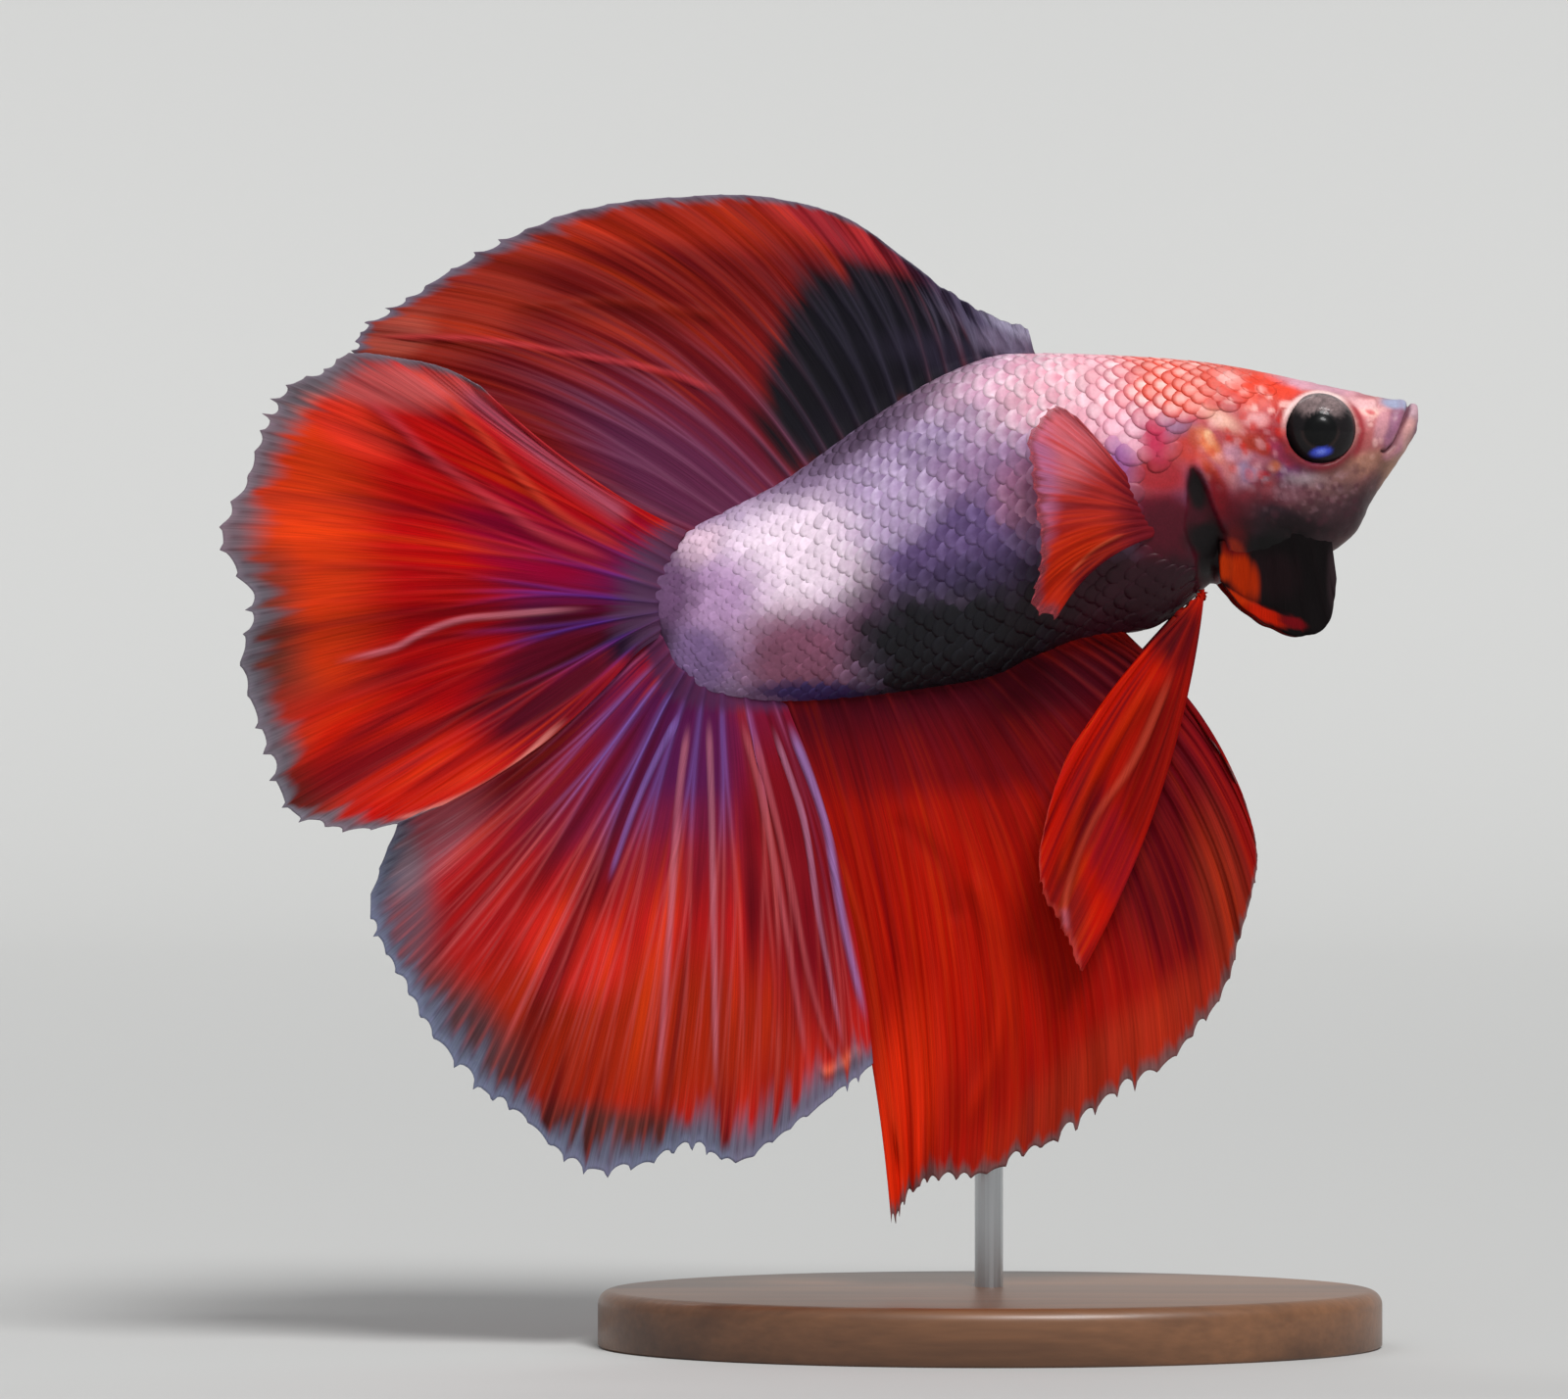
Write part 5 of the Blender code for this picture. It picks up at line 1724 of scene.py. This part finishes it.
LOWER_PAINT = FinPaint(
    base=(190, 26, 28),
    spots=(
        Spot(-20.5, 17.6, 11.0, 4.6, 0, (176, 40, 14)),
        Spot(-17.8, 33.2, 7.4, 5.0, 0, (96, 26, 80)),
        Spot(-18.5, 28.6, 6.0, 2.4, 0, (128, 28, 64), strength=0.85),
        Spot(-25.0, 31.8, 5.0, 2.8, 30, (138, 20, 44)),
        Spot(-31.2, 28.9, 3.8, 1.9, 42, (190, 96, 110), soft=0.6),
        Spot(-23.2, 22.4, 3.0, 2.4, -40, (226, 44, 34)),
        Spot(-29.6, 17.6, 2.4, 4.4, 38, (92, 60, 64)),
        Spot(-20.4, 12.0, 5.0, 1.5, -8, (100, 50, 46)),
        Spot(-11.2, 27.0, 2.6, 9.0, 12, (132, 12, 26)),
        Spot(-18.0, 26.6, 7.0, 2.0, 0, (160, 26, 36), strength=0.6),
        Spot(-33.0, 24.6, 2.0, 3.4, 0, (116, 94, 108), strength=0.85),
        Spot(-33.0, 27.4, 1.4, 1.6, 0, (158, 136, 150), strength=0.8)),
    ray_base=(216, 96, 98),
    ray_spots=(
        Spot(-18.2, 33.8, 6.3, 4.8, 0, (140, 106, 196)),
        Spot(-32.2, 28.2, 3.4, 1.7, 38, (214, 186, 200), soft=0.6),
        Spot(-10.4, 29.5, 1.6, 6.0, 14, (138, 44, 70)),
        Spot(-10.6, 20.0, 2.2, 3.4, 0, (186, 50, 46)),
        Spot(-20.0, 14.0, 12.0, 4.0, 0, (210, 84, 70))),
    ray_cover=(0.8, 0.6), edge=(108, 116, 142), margin=0.10, edge_veil=0.72,
    root=(92, 48, 88), root_reach=0.035,
    creases=(
        Crease(((-11.4, 35.2), (-9.3, 29.6), (-8.3, 24.0), (-6.9, 18.0)),
               0.16, (168, 130, 196), 0.8, 0.22, 0.4),
        Crease(((-12.3, 35.0), (-10.5, 29.6), (-9.6, 24.0), (-8.2, 16.6)),
               0.1, (204, 140, 176), 0.6, 0.12),
        Crease(((-15.8, 35.6), (-15.6, 30.0), (-15.5, 24.0), (-15.3, 13.4)),
               0.12, (212, 128, 148), 0.6, 0.12),
        Crease(((-16.9, 35.2), (-17.5, 30.0), (-18.0, 22.0), (-18.7, 13.2)),
               0.14, (210, 120, 140), 0.65, 0.14),
        Crease(((-17.4, 35.6), (-19.6, 31.0), (-21.4, 26.0)), 0.12, (150, 120, 206), 0.6, 0.12),
        Crease(((-14.0, 35.4), (-12.6, 30.0), (-11.2, 22.0), (-10.2, 15.4)),
               0.14, (206, 100, 110), 0.6, 0.14),
        Crease(((-13.4, 34.9), (-11.8, 28.7), (-9.9, 19.8), (-8.4, 15.6)),
               0.14, (204, 92, 100), 0.55, 0.14, 0.3),
        Crease(((-9.6, 15.4), (-8.4, 15.9), (-7.2, 16.9)), 0.34, (244, 116, 84), 0.8, 0.25)))
PECTORAL_PAINT = FinPaint(
    base=(166, 44, 50),
    spots=(
        Spot(3.4, 50.6, 2.8, 2.6, 30, (228, 122, 134)),
        Spot(4.6, 43.6, 3.2, 2.2, 50, (196, 40, 14)),
        Spot(5.6, 43.6, 1.9, 0.7, 44, (104, 14, 26)),
        Spot(2.2, 48.4, 1.3, 3.4, 0, (206, 124, 164)),
        Spot(1.9, 43.6, 0.8, 2.4, 0, (120, 66, 96))),
    ray_base=(196, 52, 44),
    ray_spots=(Spot(4.4, 44.0, 4.0, 3.6, 40, (206, 52, 14)),),
    ray_cover=(0.85, 0.9), edge=(184, 84, 92), margin=0.10, edge_veil=0.3, membrane_veil=0.8,
    root=(112, 18, 34), root_reach=0.34, streak=0.5,
    # The crease is a painted glint along a fold of the pectoral fin.
    creases=(Crease(((4.2, 43.2), (5.6, 44.6), (7.4, 45.6)), 0.09, (226, 120, 80), 0.35, 0.06),))
PELVIC_PAINT = FinPaint(
    base=(202, 20, 4),
    spots=(
        Spot(10.6, 39.8, 1.7, 2.4, 30, (92, 10, 22)),
        Spot(9.0, 32.6, 6.5, 1.1, 70, (138, 8, 8)),
        Spot(6.6, 28.0, 1.3, 4.0, 24, (158, 16, 30), strength=0.8),
        Spot(4.2, 24.0, 1.2, 3.0, 0, (160, 26, 22))),
    ray_base=(226, 40, 8), ray_cover=(0.4, 0.4), edge=(190, 60, 52), margin=0.02, edge_veil=0.9,
    creases=(
        Crease(((10.4, 38.4), (8.0, 33.0), (5.6, 29.4), (4.1, 25.2), (4.3, 22.0)), 0.16,
               (226, 84, 60), 0.6, 0.18, 0.7),
        Crease(((9.4, 38.0), (6.0, 32.6), (4.6, 29.4), (3.6, 25.6)), 0.3, (226, 48, 6), 0.5, 0.18, 0.8),
        Crease(((4.0, 24.8), (4.2, 23.0), (4.8, 21.2)), 0.22, (190, 100, 120), 0.7, 0.1)))
BEARD_PAINT = FinPaint(
    base=(22, 18, 19),
    spots=(
        Spot(15.6, 43.2, 1.5, 1.3, 0, (34, 21, 24), strength=0.8),
        Spot(13.9, 43.4, 1.6, 0.8, -62, (184, 46, 6), soft=0.35),
        Spot(13.0, 43.7, 0.6, 0.7, 0, (190, 52, 8), soft=0.4),
        Spot(13.6, 44.9, 0.7, 0.6, 0, (110, 14, 16), soft=0.6),
        Spot(13.9, 41.8, 1.1, 0.5, -30, (204, 50, 8), soft=0.25),
        Spot(15.4, 41.0, 1.3, 0.42, -24, (196, 32, 6), soft=0.25),
        Spot(16.9, 40.6, 0.8, 0.3, -16, (120, 14, 22), soft=0.3),
        Spot(19.2, 43.0, 0.4, 2.0, 0, (60, 46, 50), strength=0.7)),
    ray_base=(26, 18, 20), ray_cover=(0.3, 0.3), edge=(17, 13, 14), margin=0.01, edge_veil=1.0,
    streak=0.0,
    creases=(
        Crease(((12.4, 43.2), (13.5, 42.4), (15.3, 41.5), (17.0, 41.0)), 0.10, (30, 10, 14), 0.9, -0.05),))
FAR_BEARD_PAINT = FinPaint(
    base=(26, 18, 20),
    spots=(
        Spot(14.8, 41.4, 3.0, 1.2, -28, (140, 18, 6), soft=0.4),
        Spot(17.4, 40.4, 1.2, 0.6, -20, (84, 12, 24))),
    ray_base=(60, 24, 26), ray_cover=(0.4, 0.4), edge=(60, 20, 22), margin=0.02, edge_veil=1.0,
    streak=0.0)


def tall_rays(rays: tuple, shape: BodyShape, line: int) -> Rays:
    """Rays that stand in the fish's mid-plane on its back or under its belly.

    Args:
        rays: Root x, tip x, y and z, and bow of each.
        shape: The body, which gives the root's height and swing.
        line: 1 for the back and 2 for the belly, as a column of the stations.

    Returns:
        The rays with their roots in space.
    """
    table = spline(shape.stations, np.linspace(0, 1, 400))[::-1]
    roots = [(r[0], float(shape.middle(r[0])), float(np.interp(r[0], table[:, 0], table[:, line])))
             for r in rays]
    return Rays(tuple(roots), tuple(r[1:4] for r in rays), tuple(r[4] for r in rays))


def free_rays(roots: tuple, rays: tuple) -> Rays:
    """Rays whose roots are given as points of a line of their own."""
    return Rays(roots, tuple(r[:3] for r in rays), tuple(r[3] for r in rays))


@dataclass
class Fins:
    """All fins and gill membranes of the fish."""

    shape: BodyShape

    def fins(self) -> list[Fin]:
        """Describe every fin; the paired ones come from one pattern, mirrored in y."""
        made = [
            Fin("dorsal_fin", "tall_fin", tall_rays(DORSAL_RAYS, self.shape, 1),
                (0.45, 3.0, 0.1), DORSAL_PAINT, cells=20, splits=2, columns_per_branch=4, rows=140,
                points_per_cell=2, frill=(0.22, 0.26), flesh=(0.3, 0.2, 0.08), calm=(0.5, 0.75), seed=1),
            Fin("anal_fin", "tall_fin", tall_rays(ANAL_RAYS, self.shape, 2),
                (0.5, 4.0, 0.55), ANAL_PAINT, cells=20, splits=2, rows=140, points_per_cell=2,
                teeth=0.018, flesh=(0.3, 0.2, 0.05), calm=(0.2, 0.45), seed=2),
            Fin("caudal_fin_upper", "tail_fin", free_rays(UPPER_ROOTS, UPPER_RAYS),
                (0.5, 3.0, 0.0), UPPER_PAINT, cells=9, splits=3, rows=160, seed=3, teeth=0.016,
                uneven=0.03, flesh=(0.35, 0.8, 0.10), calm=(0.15, 0.35)),
            Fin("caudal_fin_lower", "tail_fin", free_rays(LOWER_ROOTS, LOWER_RAYS),
                (0.35, 4.0, 0.3), LOWER_PAINT, cells=9, splits=3, rows=155, seed=4, teeth=0.013,
                uneven=0.016, flesh=(0.8, 0.1, 0.08)),
        ]
        for side in Side:
            hand = -side.value
            made += [
                Fin(f"pectoral_fin_{side.label}", "paired_fin", free_rays(PECTORAL_ROOTS, PECTORAL_RAYS),
                    (0.25, 2.0, 0.0), PECTORAL_PAINT, cells=9, splits=1, columns_per_branch=8, rows=70,
                    pleat=0.08, thickness=(0.08, 0.02), rib=(0.05, 0.03), points_per_cell=2, teeth=0.03,
                    mirror=hand, seed=5, sink=2.0),
                Fin(f"pelvic_fin_{side.label}", "paired_fin", free_rays(PELVIC_ROOTS, PELVIC_RAYS),
                    (0.3, 1.5, 0.2), PELVIC_PAINT, cells=5, splits=2, columns_per_branch=6, rows=120,
                    pleat=0.16, thickness=(0.2, 0.04), rib=(0.06, 0.04), teeth=0.01, mirror=hand,
                    seed=6, sink=0.6),
                Fin(f"beard_{side.label}", "gill_membrane",
                    Rays(BEARD_TOP, tuple(spline(BEARD_HEM, np.linspace(0, 1, 9))), (0.0,) * 9),
                    (0.0, 1.0, 0.0), BEARD_PAINT if side is Side.RIGHT else FAR_BEARD_PAINT,
                    cells=6, splits=0, columns_per_branch=12, rows=40, pleat=0.08, teeth=0.0,
                    thickness=(0.12, 0.08), rib=(0.03, 0.03), mirror=hand, seed=7, sink=1.0),
            ]
        return made

    def build(self) -> list[bpy.types.Object]:
        """Build every fin."""
        return [fin.build() for fin in self.fins()]


# ------------------------------------------------------------------ the stand and the studio

@dataclass
class Stand:
    """The oval base, finely turned, and the steel rod, which keeps its solid.

    Attributes:
        bevel: Radius of the upper edge.
        foot: Chamfer of the lower edge.
        hub: How far in the last ring of a flat face lies, as a share of the base.
        around: Points of a ring.
    """

    bevel: float = 0.8
    foot: float = 0.15
    hub: float = 0.97
    around: int = 256

    def build(self) -> None:
        """Build the base from rings of its edge profile, and dress the rod."""
        long, wide, tall = np.array(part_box("stand_base")[1]) / UNIT
        turn = np.linspace(0, 2 * math.pi, self.around, endpoint=False)
        corner = np.linspace(0, math.pi / 2, 9)
        inset = np.concatenate([[long * self.hub, self.foot, 0.0],
                                self.bevel * (1 - np.cos(corner)), [long * self.hub]])
        height = np.concatenate([[0.0, 0.0, self.foot],
                                 tall - self.bevel + self.bevel * np.sin(corner), [tall]])
        share = 1 - inset / long
        narrow = np.minimum(inset, wide * self.hub)
        x = (long * share)[:, None] * np.cos(turn)
        y = (wide - narrow)[:, None] * np.sin(turn)
        z = np.broadcast_to(height[:, None], x.shape)
        points = np.concatenate([np.stack([x, y, z], -1).reshape(-1, 3), [[0, 0, 0], [0, 0, tall]]])
        faces = tube_faces(len(height), self.around)
        tint = np.broadcast_to(linear((100, 66, 42)), points.shape)
        uv = np.concatenate([points[f.ravel(), :2] for f in faces]) / (2 * long) + 0.5
        base = write_mesh("base_oval", points, faces, tint, {"plan": uv})
        base.data.materials.append(Walnut().material())
        mount(base, "stand_wood", "stand_base")
        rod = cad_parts["stand_rod"]
        rod.data.materials.clear()
        rod.data.materials.append(DrawnSteel().material())


@dataclass
class Studio:
    """Pale floor and sweep, soft lights and the camera."""

    view_width: float = 88.0
    distance: float = 450.0
    look_at: tuple[float, float] = (-11.55, 36.3)
    sensor: float = 36.0

    def build(self) -> None:
        """Set up floor, lights, world and camera."""
        self.sweep()
        scene = bpy.context.scene
        scene.view_settings.view_transform = "Standard"
        world = bpy.data.worlds.new("studio")
        world.use_nodes = True
        light = world.node_tree.nodes["Background"]
        light.inputs["Color"].default_value = (0.95, 0.97, 1.0, 1)
        light.inputs["Strength"].default_value = 0.40
        scene.world = world
        self.lamp("key", (0.22, -0.60, 0.72), 22, 2.75)
        self.lamp("back", (-0.30, 0.60, 0.70), 30, 0.9)
        self.camera()

    def lamp(self, name: str, place: tuple[float, float, float], softness: float, power: float) -> None:
        """A far soft light.

        Args:
            name: Its name.
            place: The direction that it comes from.
            softness: The angle that it covers, in degrees.
            power: Its strength.
        """
        data = bpy.data.lights.new(name, "SUN")
        data.angle, data.energy = math.radians(softness), power
        lamp = add_object(name, data)
        lamp.rotation_euler = Vector(place).to_track_quat("Z", "Y").to_euler()

    def camera(self) -> None:
        """A level camera square to the fish's side."""
        data = bpy.data.cameras.new("camera")
        data.sensor_width = self.sensor
        data.lens = self.sensor * self.distance / self.view_width
        data.clip_start, data.clip_end = 0.01, 10
        camera = add_object("camera", data)
        camera.location = (self.look_at[0] * UNIT, -self.distance * UNIT, self.look_at[1] * UNIT)
        camera.rotation_euler = (math.pi / 2, 0, 0)
        bpy.context.scene.camera = camera

    def sweep(self) -> None:
        """A floor that curves up into a back wall: a quarter circle between two planes."""
        bend = np.linspace(0, math.pi / 2, 17)
        radius, depth, wall = 0.35, 0.7, 1.6
        y = np.concatenate([[-1.6], depth + radius * np.sin(bend), [depth + radius]])
        z = np.concatenate([[0.0], radius * (1 - np.cos(bend)), [wall]])
        x = np.array([-2.0, 2.0])
        grid = np.stack([np.broadcast_to(x[:, None], (2, len(y))), np.broadcast_to(y, (2, len(y))),
                         np.broadcast_to(z, (2, len(y)))], axis=-1).reshape(-1, 3)
        mesh = bpy.data.meshes.new("sweep")
        mesh.from_pydata(grid.tolist(), [], grid_quads(2, len(y))[:, ::-1].tolist())
        mesh.shade_smooth()
        sweep = add_object("sweep", mesh)
        n = Nodes("studio_paper")
        n.shader.inputs["Base Color"].default_value = (0.52, 0.52, 0.51, 1)
        n.shader.inputs["Roughness"].default_value = 0.9
        mesh.materials.append(n.material)


def main() -> None:
    """Build every sub-assembly in order and report each piece."""
    logging.basicConfig(level=logging.INFO, format="%(name)s: %(message)s")
    shape = BodyShape()
    skin = Skin(shape)
    skin.build()
    scales = Scales(shape, skin)
    for side in Side:
        scales.build(side)
        Eye(side).build()
    Fins(shape).build()
    Stand().build()
    Studio().build()
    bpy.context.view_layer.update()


if __name__ == "__main__":
    main()
